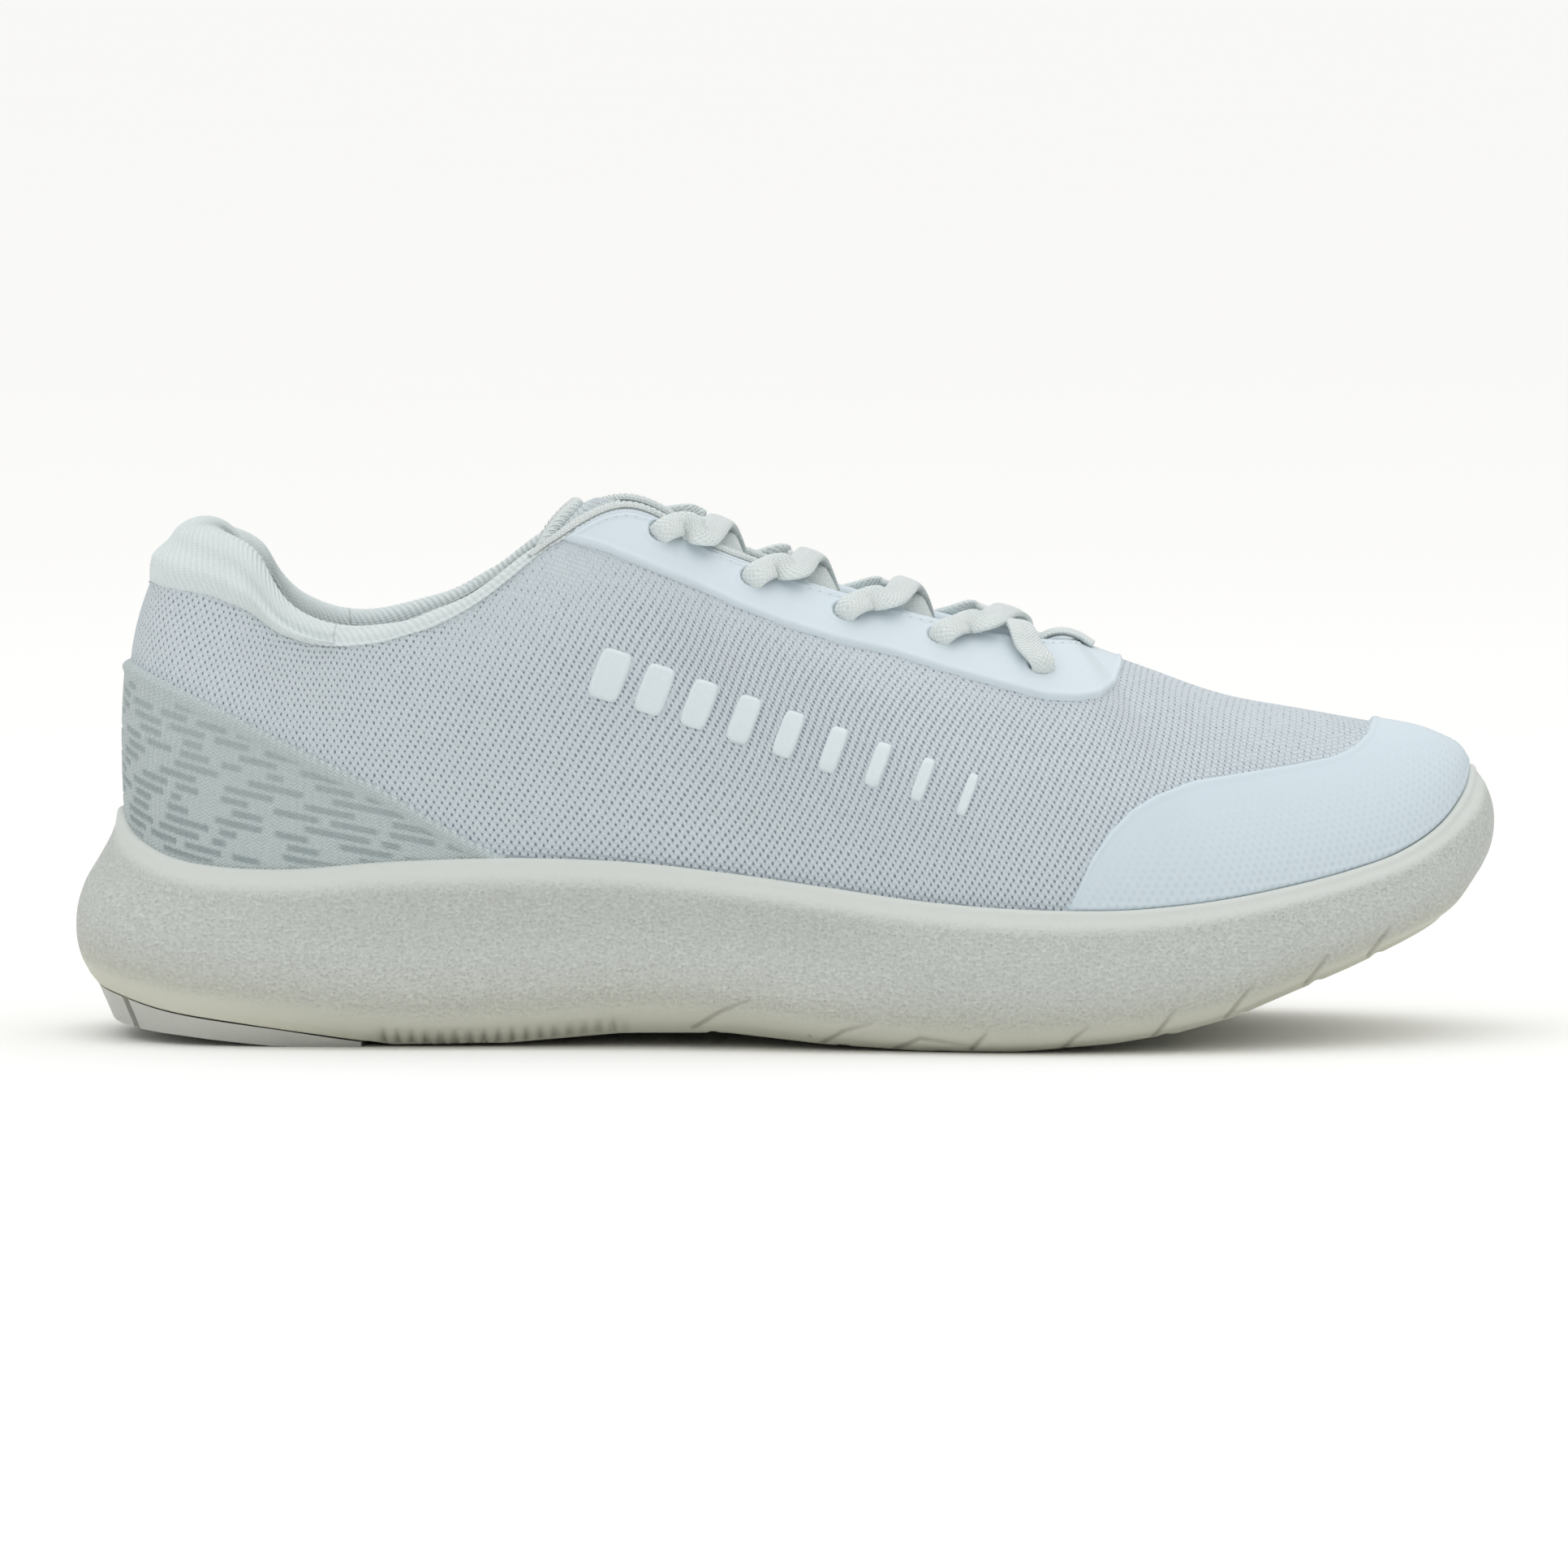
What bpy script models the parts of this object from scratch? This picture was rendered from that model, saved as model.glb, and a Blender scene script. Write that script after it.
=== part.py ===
"""Running shoe, right foot, EU 42. Metres, +Z up, +X towards the toe, +Y medial, the ground at z = 0.

Everything above the sole is a layer of one surface: ribs that rise from the midsole's lip to the collar, the
throat's edge or the ridge over the toes. A station runs round the shoe, 0 at the heel's centre, 19 at the toe's
tip on the lateral side, and back to 38 at the heel on the medial side. Hand-set numbers are millimetres.
"""

import math

import bmesh
import bpy
import numpy as np

MM = 0.001
FLEX_X = 72.0  # the sole and upper are parted here, at the ball of the foot
FLEX_Z = 20.0  # height of the flex axis, at the top of the foam
FLEX_DEG = 27.0  # the wedge left open above the axis, 2 degrees more than the joint's range
GAP = 0.3  # between neighbours that touch on the real shoe
HALF = 19
LOOP = 38

for old in list(bpy.data.objects):
    bpy.data.objects.remove(old, do_unlink=True)

parts = bpy.data.collections.new("running_shoe")
cutters = bpy.data.collections.new("cutters")
bpy.context.scene.collection.children.link(parts)
bpy.context.scene.collection.children.link(cutters)

# ---------------------------------------------------------------- stations
# Outer edge of the midsole's lip: x, y, z. Lateral half from heel to toe, then medial half from heel to toe.
LATERAL = [
    (-141.2, 0, 48), (-137.5, -17.5, 43), (-126, -30, 38.6), (-106, -36, 37.4), (-82, -38, 39.2),
    (-58, -37.8, 39.9), (-34, -38.2, 39.2), (-12, -41.2, 37), (8, -45, 34.4), (28, -49, 31.8),
    (48, -51.5, 30.3), (68, -51.5, 30), (82, -49, 30.8), (94, -45.5, 32.2), (106, -40, 34.2),
    (118, -34, 36.8), (129.5, -26.5, 40.2), (138.7, -17, 45.2), (144.6, -6.5, 51.6), (146.4, 4.5, 56.6),
]
MEDIAL = [
    (-141.2, 0, 48), (-137.5, 17.5, 43), (-126, 30, 38.6), (-106, 36, 37.4), (-82, 37.5, 39.4),
    (-58, 36.2, 40.4), (-34, 35.8, 40), (-12, 37.5, 38), (8, 41, 35.4), (28, 45.5, 32.6),
    (48, 49.5, 30.8), (68, 52, 30.2), (82, 52, 30.8), (94, 50, 32.2), (106, 46.5, 34.2),
    (118, 42, 36.8), (130, 34.5, 40.2), (139, 25.5, 45.2), (144.7, 15.5, 51.6), (146.4, 4.5, 56.6),
]
OUTLINE = LATERAL + MEDIAL[18:0:-1]

# Height of the footbed and of the foam's underside at each station.
FLOOR = [26, 26, 25.5, 25, 25, 25, 24, 22.5, 21, 19.5, 18.5, 18.5, 19.5, 21.5, 24.5, 28, 32, 35.5, 38, 39]
UNDER = [11.5, 10.5, 7.2, 4.2, 0.8, 1.1, 3.2, 3.5, 1.5, 0.4, 0.4, 2.1, 4.2, 7.2, 11.8, 16.3, 21, 25, 28, 28.5]
# Height of the rubber's underside, where there is rubber at the heel.
TREAD = [4.2, 3.2, 2.0, 0.0, 0.0]

# The wall's offset out from the lip at nine heights between UNDER and the lip, for each station.
RISE = (0, 0.06, 0.16, 0.28, 0.44, 0.60, 0.75, 0.90, 1.0)
HEEL_BACK = (4.4, 6.0, 7.7, 8.6, 8.4, 6.6, 3.5, 0.8, 0)
HEEL_SIDE = (3.2, 4.0, 5.0, 5.8, 5.8, 4.6, 2.8, 1.1, 0)
WAIST_IN = (0.5, 2.2, 4.4, 5.2, 4.6, 3.2, 2.0, 1.2, 0)
WAIST = (-4.0, -0.5, 3.2, 4.4, 3.0, 0.9, 0.5, 0.9, 0)
FORE = (-4.5, -0.8, 1.8, 3.2, 3.6, 3.2, 2.2, 1.2, 0)
TOE = (-6.0, -3.4, -0.8, 1.5, 3.2, 3.8, 3.4, 1.9, 0)
WALL = [HEEL_BACK, HEEL_BACK, HEEL_SIDE, WAIST_IN, WAIST, WAIST, WAIST, WAIST, WAIST, FORE,
        FORE, FORE, FORE, FORE, FORE, FORE, FORE, FORE, TOE, TOE]

# Where each rib ends: x, |y|, z, then its handles: up and out at the lip, out and down at the top.
TOP = [
    (-130, 0, 104.5, 26, 1.0, 9.5, 18.5), (-127.5, 12.5, 103.5, 26, 1.0, 8, 18), (-115, 23.5, 99, 22, 1.2, 6, 17),
    (-103, 31, 87.5, 18, 1.5, 4.5, 15), (-87, 34, 85, 16, 1.2, 4, 14), (-67, 32.5, 91.8, 18, 1.0, 4.5, 17),
    (-49, 24.5, 105, 22, 1.0, 9, 18), (-33, 16, 111.5, 26, 1.0, 13, 15), (-14.6, 14.5, 102.8, 25, 0.8, 15, 13),
    (6.5, 13.5, 95.3, 22, 0.6, 17, 12), (31, 12.5, 88.2, 19, 0.5, 18, 11), (50, 11.5, 84.2, 17, 0.5, 19, 10),
    (59, 7.5, 83, 16, 0.5, 20, 6), (61.5, 0, 82.6, 15, 0.5, 20, 1), (75, 0, 77.8, 13, 0.5, 20, 0.3),
    (92, 0, 71.8, 12, 0.4, 18, 0.2), (109, 0, 68.6, 10, 0.3, 14, 0.2), (123, 0, 66, 8, 0.3, 10, 0.1),
    (133.5, 0, 64, 6, 0.2, 6, 0.1), (140.5, 0, 61.2, 2, 0.2, 2, 0.1),
]
RIDGE_Y = [0, 0, 0.5, 1, 2, 3, 4]  # the ridge from station 13 drifts to the big toe's side
RIDGE = 13

ROLL = [9.2, 8.6, 6.8, 5.2, 3.9, 2.9, 1.9, 1.3]  # radius of the padded collar at stations 0 to 7
PAD = [9.5, 9.5, 9.0, 8.0, 7.0, 6.2, 5.4, 4.8]  # how far in its lining lies lower down
SEAM = [0.84, 0.85, 0.88, 0.96, 0.985, 0.985, 0.985, 0.985]  # where the collar fabric meets the knit
TONGUE_TOP = [0, 0, 0, 0, 0, 112, 111.5, 110.5, 102.8, 95, 87.8, 82.8, 80.3, 79.6]  # its centre line, from station 5

EYELETS = [(-26.4, 106.5), (-7, 96.7), (12.4, 89.6), (32.4, 84.4), (53.5, 78.2)]  # x, z
EYELET_R = 2.5
LACE_R = 1.2

# Edges of the overlays in side view, x and z.
EYESTAY_EDGE = [(-46, 105.5), (-37.6, 103), (-30, 100), (-19, 95.5), (-10, 91.3), (0, 87.4), (11, 84), (22, 81.5),
                (33, 78), (44, 75), (55, 72.2), (61, 71.8), (66, 72.4), (69.5, 74.5), (71.2, 78), (71.4, 84)]
TOE_EDGE = [(58.5, 29), (61.3, 35.6), (63.8, 41), (67.4, 46), (72, 50.4), (77, 53.2), (84.6, 55.7), (95.8, 57),
            (107, 58.2), (114.5, 59.4), (119, 61), (122.5, 63.5), (124, 66.5), (124.4, 72)]
HEEL_EDGE = [(-145, 80), (-137, 79), (-133.7, 77.5), (-127.7, 75), (-118.8, 71), (-110.5, 67), (-101.6, 62.8),
             (-92.7, 58.5), (-85.3, 55), (-77.8, 50.6), (-72, 47), (-66.6, 44), (-60, 40.5)]


def spline(rows, k, closed=False):
    """Catmull-Rom through evenly numbered rows."""
    rows = np.asarray(rows, float)
    n = len(rows)
    i = math.floor(k) if closed else min(max(int(math.floor(k)), 0), n - 2)
    t = k - i

    def row(j):
        if closed:
            return rows[j % n]
        if j < 0:
            return 2 * rows[0] - rows[1]
        if j > n - 1:
            return 2 * rows[-1] - rows[-2]
        return rows[j]

    a, b, c, d = row(i - 1), row(i), row(i + 1), row(i + 2)
    return 0.5 * (2 * b + (c - a) * t + (2 * a - 5 * b + 4 * c - d) * t * t + (3 * b - a - 3 * c + d) * t ** 3)


def line(rows, x):
    """Straight interpolation in a table of (x, value)."""
    return float(np.interp(x, [r[0] for r in rows], [r[1] for r in rows]))


def fold(s):
    """Station on the half that runs from heel to toe, and the side: -1 lateral, +1 medial."""
    s = s % LOOP
    return (s, -1.0) if s <= HALF else (LOOP - s, 1.0)


def half(rows, s):
    """Catmull-Rom in a table for one half, mirrored past the heel and the toe."""
    return spline(list(rows) + list(rows[-2:0:-1]), s % LOOP, closed=True)


def outline(s):
    return spline(OUTLINE, s % LOOP, closed=True)


def outward(s):
    """Unit normal of the outline in plan."""
    a, b = outline(s - 0.05), outline(s + 0.05)
    t = b - a
    n = np.array([-t[1], t[0], 0.0]) * -1
    n /= np.linalg.norm(n)
    c = outline(s) - np.array([0 if abs(outline(s)[0]) < 100 else 90 * np.sign(outline(s)[0]), 0, 0])
    return n if n @ np.array([c[0] if abs(outline(s)[0]) > 100 else 0, c[1], 0]) > 0 else -n


def wall(s, f):
    """A point of the midsole's wall, f from 0 at its underside to 1 at the lip."""
    k, _ = fold(s)
    rows = np.array([np.interp(f, RISE, w) for w in WALL])
    off = float(half(rows[:, None], k)[0])
    o = outline(s)
    low = float(half(np.array(UNDER)[:, None], k)[0])
    top = o[2] - 0.8
    p = o + outward(s) * off
    p[2] = low + (top - low) * f
    return p


def end_of_rib(s):
    k, side = fold(s)
    if k >= RIDGE:
        rows = [(*TOP[i][:1], RIDGE_Y[i - RIDGE], *TOP[i][2:]) for i in range(RIDGE, HALF + 1)]
        return spline(rows, k - RIDGE)
    rows = [(t[0], -t[1] if j < 0 else t[1], *t[2:]) for j, t in [(-1, TOP[1])] + list(enumerate(TOP[: RIDGE + 1]))]
    r = spline(rows, k + 1)
    r[1] *= side
    return r


def over_ridge(s):
    """How steeply the ridge over the toes falls forward, so that both halves cross it level."""
    k, _ = fold(s)
    if k <= RIDGE - 1:
        return 0.0
    a, b = end_of_rib(max(k, RIDGE)), end_of_rib(min(max(k, RIDGE) + 0.3, HALF))
    if k > HALF - 0.3:
        a = end_of_rib(HALF - 0.3)
    f = min(1.0, k - RIDGE + 1)
    return f * f * (3 - 2 * f) * (a[2] - b[2]) / (b[0] - a[0])


def rib(s, v):
    """The upper's outer surface. v is 0 at the lip, 1 at the top edge, and -1 at the footbed."""
    o = outline(s)
    n = outward(s)
    lip = o - n * 2.6
    lip[2] = o[2] - 0.5
    if v <= 0:
        k, _ = fold(s)
        floor = float(half(np.array(FLOOR)[:, None], k)[0]) + 0.6
        lip[2] += (lip[2] - floor) * v
        return lip
    e = end_of_rib(s)
    t = e[:3]
    h1 = lip + n * e[4] + np.array([0, 0, e[3]])
    h2 = t + n * e[5] - np.array([0, 0, e[6] + over_ridge(s) * e[5] * n[0]])
    u = 1 - v
    return u ** 3 * lip + 3 * u * u * v * h1 + 3 * u * v * v * h2 + v ** 3 * t


def normal(s, v):
    k, _ = fold(s)
    if k > HALF - 0.02:
        s = s - 0.05 if s % LOOP <= HALF else s + 0.05
        other = normal(LOOP - s % LOOP, v)
        own = _normal(s, v)
        n = own + other
        return n / np.linalg.norm(n)
    if k >= RIDGE and v > 0.999:
        n = _normal(s, v) + _normal(LOOP - s, v)
        n[1] = 0
        return n / np.linalg.norm(n)
    return _normal(s, v)


def _normal(s, v):
    k, side = fold(s)
    e = 0.02
    vv = min(max(v, -0.97), 0.985)
    ds = rib(s + e, vv) - rib(s - e, vv)
    dv = rib(s, vv + 0.015) - rib(s, vv - 0.015)
    n = np.cross(ds, dv)
    n /= np.linalg.norm(n)
    out = outward(s) + np.array([0, 0, 0.6])
    return n if n @ out > 0 else -n


def skin(s, v, d):
    """The point d out from the upper's outer surface."""
    return rib(s, v) + normal(s, v) * d


def crossing(s, edge, below=True):
    """How far up a rib the side-view edge crosses it."""

    def inside(v):
        p = rib(s, v)
        return (p[2] < line(edge, p[0])) == below

    last = 0.0
    for v in np.linspace(0, 1, 41):
        if inside(v) != below and below:
            lo, hi = last, v
            for _ in range(14):
                mid = (lo + hi) / 2
                lo, hi = (mid, hi) if inside(mid) else (lo, mid)
            return lo
        if not below and inside(v):
            lo, hi = last, v
            for _ in range(14):
                mid = (lo + hi) / 2
                lo, hi = (lo, mid) if inside(mid) else (mid, hi)
            return hi
        last = v
    return 1.0


# ---------------------------------------------------------------- making objects
def material(name, colour, rough, metal=0.0):
    m = bpy.data.materials.new(name)
    m.use_nodes = True
    b = m.node_tree.nodes["Principled BSDF"]
    b.inputs["Base Color"].default_value = (*colour, 1)
    b.inputs["Roughness"].default_value = rough
    b.inputs["Metallic"].default_value = metal
    return m


KNIT = material("knit", (0.80, 0.83, 0.86), 0.85)
JACQUARD = material("jacquard", (0.76, 0.79, 0.77), 0.88)
RIB_KNIT = material("rib_knit", (0.82, 0.84, 0.83), 0.9)
FILM = material("film", (0.82, 0.85, 0.89), 0.5)
LACE = material("lace", (0.84, 0.86, 0.86), 0.8)
FOAM = material("foam", (0.80, 0.80, 0.77), 0.7)
RUBBER = material("rubber", (0.78, 0.78, 0.76), 0.6)
PADDING = material("padding", (0.85, 0.84, 0.78), 0.95)
BOARD = material("board", (0.75, 0.73, 0.68), 0.9)
STIFF = material("stiffener", (0.70, 0.70, 0.70), 0.6)
TRANSFER = material("transfer", (0.88, 0.90, 0.92), 0.3)
TIP = material("lace_tip", (0.85, 0.87, 0.88), 0.25)


def add(name, mesh, mat, home=parts):
    o = bpy.data.objects.new(name, mesh)
    home.objects.link(o)
    if mat:
        mesh.materials.append(mat)
    if home is cutters:
        o.hide_render = True
        o.display_type = "WIRE"
    return o


def finish_mesh(bm, name, sharp=40):
    bmesh.ops.remove_doubles(bm, verts=bm.verts, dist=2e-6)
    bmesh.ops.dissolve_degenerate(bm, edges=bm.edges, dist=1e-6)
    bmesh.ops.recalc_face_normals(bm, faces=bm.faces)
    m = bpy.data.meshes.new(name)
    bm.to_mesh(m)
    bm.free()
    m.shade_smooth()
    m.set_sharp_from_angle(angle=math.radians(sharp))
    return m


def grid(columns, close=False):
    """A surface through columns of points of the same length."""
    bm = bmesh.new()
    rows = [[bm.verts.new(np.array(p) * MM) for p in c] for c in columns]
    n = len(rows)
    for i in range(n if close else n - 1):
        a, b = rows[i], rows[(i + 1) % n]
        for j in range(len(a) - 1):
            bm.faces.new((a[j], b[j], b[j + 1], a[j + 1]))
    bmesh.ops.remove_doubles(bm, verts=bm.verts, dist=2e-6)
    return bm


def face_out(bm, sample):
    """Turns the whole surface so that the face nearest sample looks away from the shoe's inside."""
    bmesh.ops.recalc_face_normals(bm, faces=bm.faces)
    bm.faces.ensure_lookup_table()
    point, direction = np.array(sample[0]) * MM, np.array(sample[1])
    f = min(bm.faces, key=lambda q: np.linalg.norm(np.array(q.calc_center_median()) - point))
    if np.dot(np.array(f.normal), direction) < 0:
        bmesh.ops.reverse_faces(bm, faces=bm.faces)


def halve(bm, point, toward):
    """Keeps the side of a plane that toward points to."""
    geom = list(bm.verts) + list(bm.edges) + list(bm.faces)
    bmesh.ops.bisect_plane(bm, geom=geom, dist=1e-7, plane_co=np.array(point) * MM, plane_no=toward, clear_inner=True)


FLEX = math.radians(FLEX_DEG)
SLANT = (math.cos(FLEX), 0, -math.sin(FLEX))  # normal of the toe's slanted face, towards the toe


def rear_side(bm):
    halve(bm, (FLEX_X - GAP / 2, 0, FLEX_Z), (-1, 0, 0))


def toe_side(bm):
    halve(bm, (FLEX_X + GAP / 2, 0, FLEX_Z), (1, 0, 0))
    halve(bm, (FLEX_X + GAP / 2, 0, FLEX_Z), SLANT)


def between(bm):
    halve(bm, (FLEX_X + GAP / 2, 0, FLEX_Z), (1, 0, 0))
    halve(bm, (FLEX_X - GAP, 0, FLEX_Z), tuple(-c for c in SLANT))


def shell(name, columns, thick, mat, sample, close=False, cuts=(), outwards=False):
    """An open surface given its thickness. It is the outer face unless outwards says that it is the inner one."""
    bm = grid(columns, close)
    face_out(bm, sample)
    for cut in cuts:
        cut(bm)
    mesh = bpy.data.meshes.new(name)
    bm.to_mesh(mesh)
    bm.free()
    mesh.shade_smooth()
    o = add(name, mesh, mat)
    s = o.modifiers.new("thickness", "SOLIDIFY")
    s.thickness = thick * MM
    s.offset = 1 if outwards else -1
    s.use_even_offset = False
    s.use_rim = True
    return o


def boolean(o, cutter, operation="DIFFERENCE"):
    m = o.modifiers.new("cut_" + cutter.name, "BOOLEAN")
    m.operation = operation
    m.solver = "EXACT"
    m.object = cutter


def span(a, b, step):
    n = max(1, round((b - a) / step))
    return [a + (b - a) * i / n for i in range(n + 1)]


def heights(a, b, n):
    return [a + (b - a) * i / n for i in range(n + 1)]


side_sample = ((-60, -36, 70), (0, -1, 0))
toe_sample = ((110, -20, 60), (0, -0.6, 0.8))

# ---------------------------------------------------------------- midsole
stations = [i * 0.5 for i in range(2 * LOOP)]


def ring(offset, z):
    """A loop at a constant offset from the lip's outline."""
    out = []
    for s in stations:
        p = outline(s) + outward(s) * offset
        p[2] = z(s)
        out.append(p)
    return out


def tab(rows):
    return lambda s: float(half(np.array(rows, float)[:, None], fold(s)[0])[0])


def floor_at(x):
    return line([(o[0], z) for o, z in zip(LATERAL, FLOOR)], x)


def under_at(x):
    return line([(o[0], z) for o, z in zip(LATERAL, UNDER)], x)


def lip_z(s):
    return outline(s)[2]


def laid(offset, height):
    """A loop at a constant offset from the lip's outline, its height read at each point's own x."""
    out = ring(offset, lambda s: 0)
    for p in out:
        p[2] = height(p[0])
    return out


rings = [[wall(s, f) for s in stations] for f in RISE]
rings.append(ring(-0.8, lip_z))
rings.append(ring(-1.9, lambda s: lip_z(s) - 0.3))
rings.append(ring(-2.3, lambda s: lip_z(s) - 1.6))
rings.append(laid(-2.3, floor_at))
rings.append(laid(-14, floor_at))
rings.insert(0, laid(-12, under_at))

bm = bmesh.new()
verts = [[bm.verts.new(p * MM) for p in r] for r in rings]
count = len(stations)
for a, b in zip(verts, verts[1:]):
    for i in range(count):
        bm.faces.new((a[i], a[(i + 1) % count], b[(i + 1) % count], b[i]))
for r in (verts[0], verts[-1]):  # close the middle between the lateral and the medial halves
    m = HALF * 2
    for i in range(m):
        quad = [r[i], r[i + 1], r[(count - i - 1) % count], r[(count - i) % count]]
        bm.faces.new(list(dict.fromkeys(quad)))
sole = finish_mesh(bm, "midsole", 50)


def prism(name, section, y0, y1):
    """A side-view outline drawn out across the shoe, for cutting."""
    bm = bmesh.new()
    a = [bm.verts.new((x * MM, y0 * MM, z * MM)) for x, z in section]
    b = [bm.verts.new((x * MM, y1 * MM, z * MM)) for x, z in section]
    bm.faces.new(a)
    bm.faces.new(b[::-1])
    for i in range(len(a)):
        j = (i + 1) % len(a)
        bm.faces.new((a[j], a[i], b[i], b[j]))
    return add(name, finish_mesh(bm, name), None, cutters)


reach = 100 * math.tan(FLEX)
cut_front = prism("cut_front", [(FLEX_X - GAP / 2, -20), (200, -20), (200, 140), (FLEX_X - GAP / 2, 140)], -90, 90)
cut_rear = prism("cut_rear", [(-200, -20), (FLEX_X + GAP / 2, -20), (FLEX_X + GAP / 2, FLEX_Z),
                              (FLEX_X + GAP / 2 + reach, FLEX_Z + 100), (-200, FLEX_Z + 100)], -90, 90)
midsole_rear = add("midsole_rear", sole, FOAM)
midsole_toe = add("midsole_toe", sole.copy(), None)
boolean(midsole_rear, cut_front)
boolean(midsole_toe, cut_rear)


# ---------------------------------------------------------------- outsole rubber
def pad(name, ks, inner, low):
    """A rubber pad along the stations ks: a section of five corners drawn along the edge of the foam's underside."""
    columns = []
    for s in ks:
        o, n = outline(s), outward(s)
        foot = wall(s, 0)
        edge = float((foot - o)[:2] @ n[:2])
        bottom = low(s)
        drop = min(3.4, max(0.8, (foot[2] - bottom) * 0.9))
        section = [(edge - 0.3, foot[2] - 0.4), (edge - drop, bottom), (inner, bottom), (inner, None), (-12, None)]
        c = []
        for d, z in section:
            p = o + n * d
            p[2] = under_at(p[0]) - 0.4 if z is None else z
            c.append(p)
        columns.append(c)
    bm = bmesh.new()
    rows = [[bm.verts.new(p * MM) for p in c] for c in columns]
    for a, b in zip(rows, rows[1:]):
        for j in range(5):
            bm.faces.new((a[j], b[j], b[(j + 1) % 5], a[(j + 1) % 5]))
    bm.faces.new(rows[0])
    bm.faces.new(rows[-1][::-1])
    return add(name, finish_mesh(bm, name, 30), RUBBER)


def tread(s):
    k, _ = fold(s)
    return line(list(enumerate(TREAD)), k)


pad("outsole_heel_lateral", span(1.32, 3.72, 0.2), -26, tread)
pad("outsole_heel_medial", span(LOOP - 3.72, LOOP - 1.32, 0.2), -26, tread)
pad("outsole_heel_rear", span(-1.2, 1.2, 0.2), -16, tread)


def pod(name, ks, inset, deep, flat, grow=0.0, home=parts):
    """A rubber pod let into the middle of the foam's underside, a loft between its lateral and medial edges."""
    bm = bmesh.new()
    rows = []
    for s in ks:
        a = outline(s) - outward(s) * (inset - grow)
        b = outline(LOOP - s) - outward(LOOP - s) * (inset - grow)
        pts = []
        for f in (0, 0.5, 1):
            p = a + (b - a) * f
            pts.append((p[0], p[1], (0 if flat else under_at(p[0]) - 0.2) - grow * 2))
        for f in (1, 0.5, 0):
            p = a + (b - a) * f
            pts.append((p[0], p[1], (0.4 if flat else under_at(p[0])) + deep + grow))
        rows.append([bm.verts.new(np.array(p) * MM) for p in pts])
    for a, b in zip(rows, rows[1:]):
        for j in range(6):
            bm.faces.new((a[j], b[j], b[(j + 1) % 6], a[(j + 1) % 6]))
    bm.faces.new(rows[0])
    bm.faces.new(rows[-1][::-1])
    return add(name, finish_mesh(bm, name, 30), RUBBER if home is parts else None, home)


pod("outsole_forefoot", span(8.7, 10.3, 0.4), 17, 2.0, True)
pod("outsole_toe", span(13.4, 16.6, 0.4), 15, 1.8, False)
boolean(midsole_rear, pod("pocket_forefoot", span(8.68, 10.32, 0.41), 17, 2.0, True, GAP, cutters))
boolean(midsole_toe, pod("pocket_toe", span(13.38, 16.62, 0.405), 15, 1.8, False, GAP, cutters))


# ---------------------------------------------------------------- boards in the shoe
def plate(name, inset, low, high, mat, step=0.5, dish=0.0):
    """A sheet on the footbed, from low to high above it."""
    ks = span(0, HALF, step)
    bm = bmesh.new()
    loops = []
    for z, d in ((low, inset + 0.2), (high + dish, inset), (high, inset + 7)):
        lat = [outline(s) - outward(s) * d for s in ks]
        med = [outline(LOOP - s) - outward(LOOP - s) * d for s in ks]
        loop = []
        for s, p in list(zip(ks, lat)) + list(zip(ks, med))[-2:0:-1]:
            loop.append(bm.verts.new((p[0] * MM, p[1] * MM, (floor_at(p[0]) + z) * MM)))
        loops.append(loop)
    n, m = len(loops[0]), len(ks) - 1
    for a, b in zip(loops, loops[1:]):
        for i in range(n):
            bm.faces.new((a[i], a[(i + 1) % n], b[(i + 1) % n], b[i]))
    for r in (loops[0], loops[-1]):
        for i in range(m):
            quad = [r[i], r[i + 1], r[(n - i - 1) % n], r[(n - i) % n]]
            bm.faces.new(list(dict.fromkeys(quad)))
    return add(name, finish_mesh(bm, name), mat)


plate("strobel_board", 7.8, 0.4, 1.5, BOARD)
plate("sockliner", 8.0, 2.1, 5.2, PADDING, step=1.0, dish=1.6)

# ---------------------------------------------------------------- knit upper
MESH_V = [-0.9, 0, 0.15, 0.32, 0.49, 0.66, 0.84]


def seam(s):
    k, _ = fold(s)
    return line(list(enumerate(SEAM)), k) - 0.014 if k < 6.8 else 1.0


def knit_columns(step=0.5):
    out = []
    for s in span(0, LOOP, step)[:-1]:
        top = seam(s)
        vs = [v if v <= 0 else v * top for v in MESH_V] + [top]
        out.append([skin(s, v, 0) for v in vs])
    return out


knit = knit_columns()
quarter = shell("quarter_mesh", knit, 1.5, KNIT, side_sample, close=True, cuts=[rear_side])
flex = shell("vamp_flex_panel", knit, 1.5, KNIT, ((80, -20, 70), (0, -0.6, 0.8)), close=True, cuts=[between])
shell("toe_box_mesh", knit, 1.5, KNIT, toe_sample, close=True, cuts=[toe_side])


def layer(name, ks, bottom, top, n, d, thick, mat, sample, cuts=()):
    """A patch of the upper's surface at depth d, with its own lower and upper edge."""
    columns = [[skin(s, bottom(s) + (top(s) - bottom(s)) * i / n, d) for i in range(n + 1)] for s in ks]
    return shell(name, columns, thick, mat, sample, cuts=cuts)


heel_sample = ((-138, 0, 60), (-1, 0, 0))
OUTER = 1.05  # the films' outer face lies this far off the knit


def just_above_lip(s):
    return min(0.3, 1.4 / (rib(s, 1)[2] - rib(s, 0)[2]))


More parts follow.
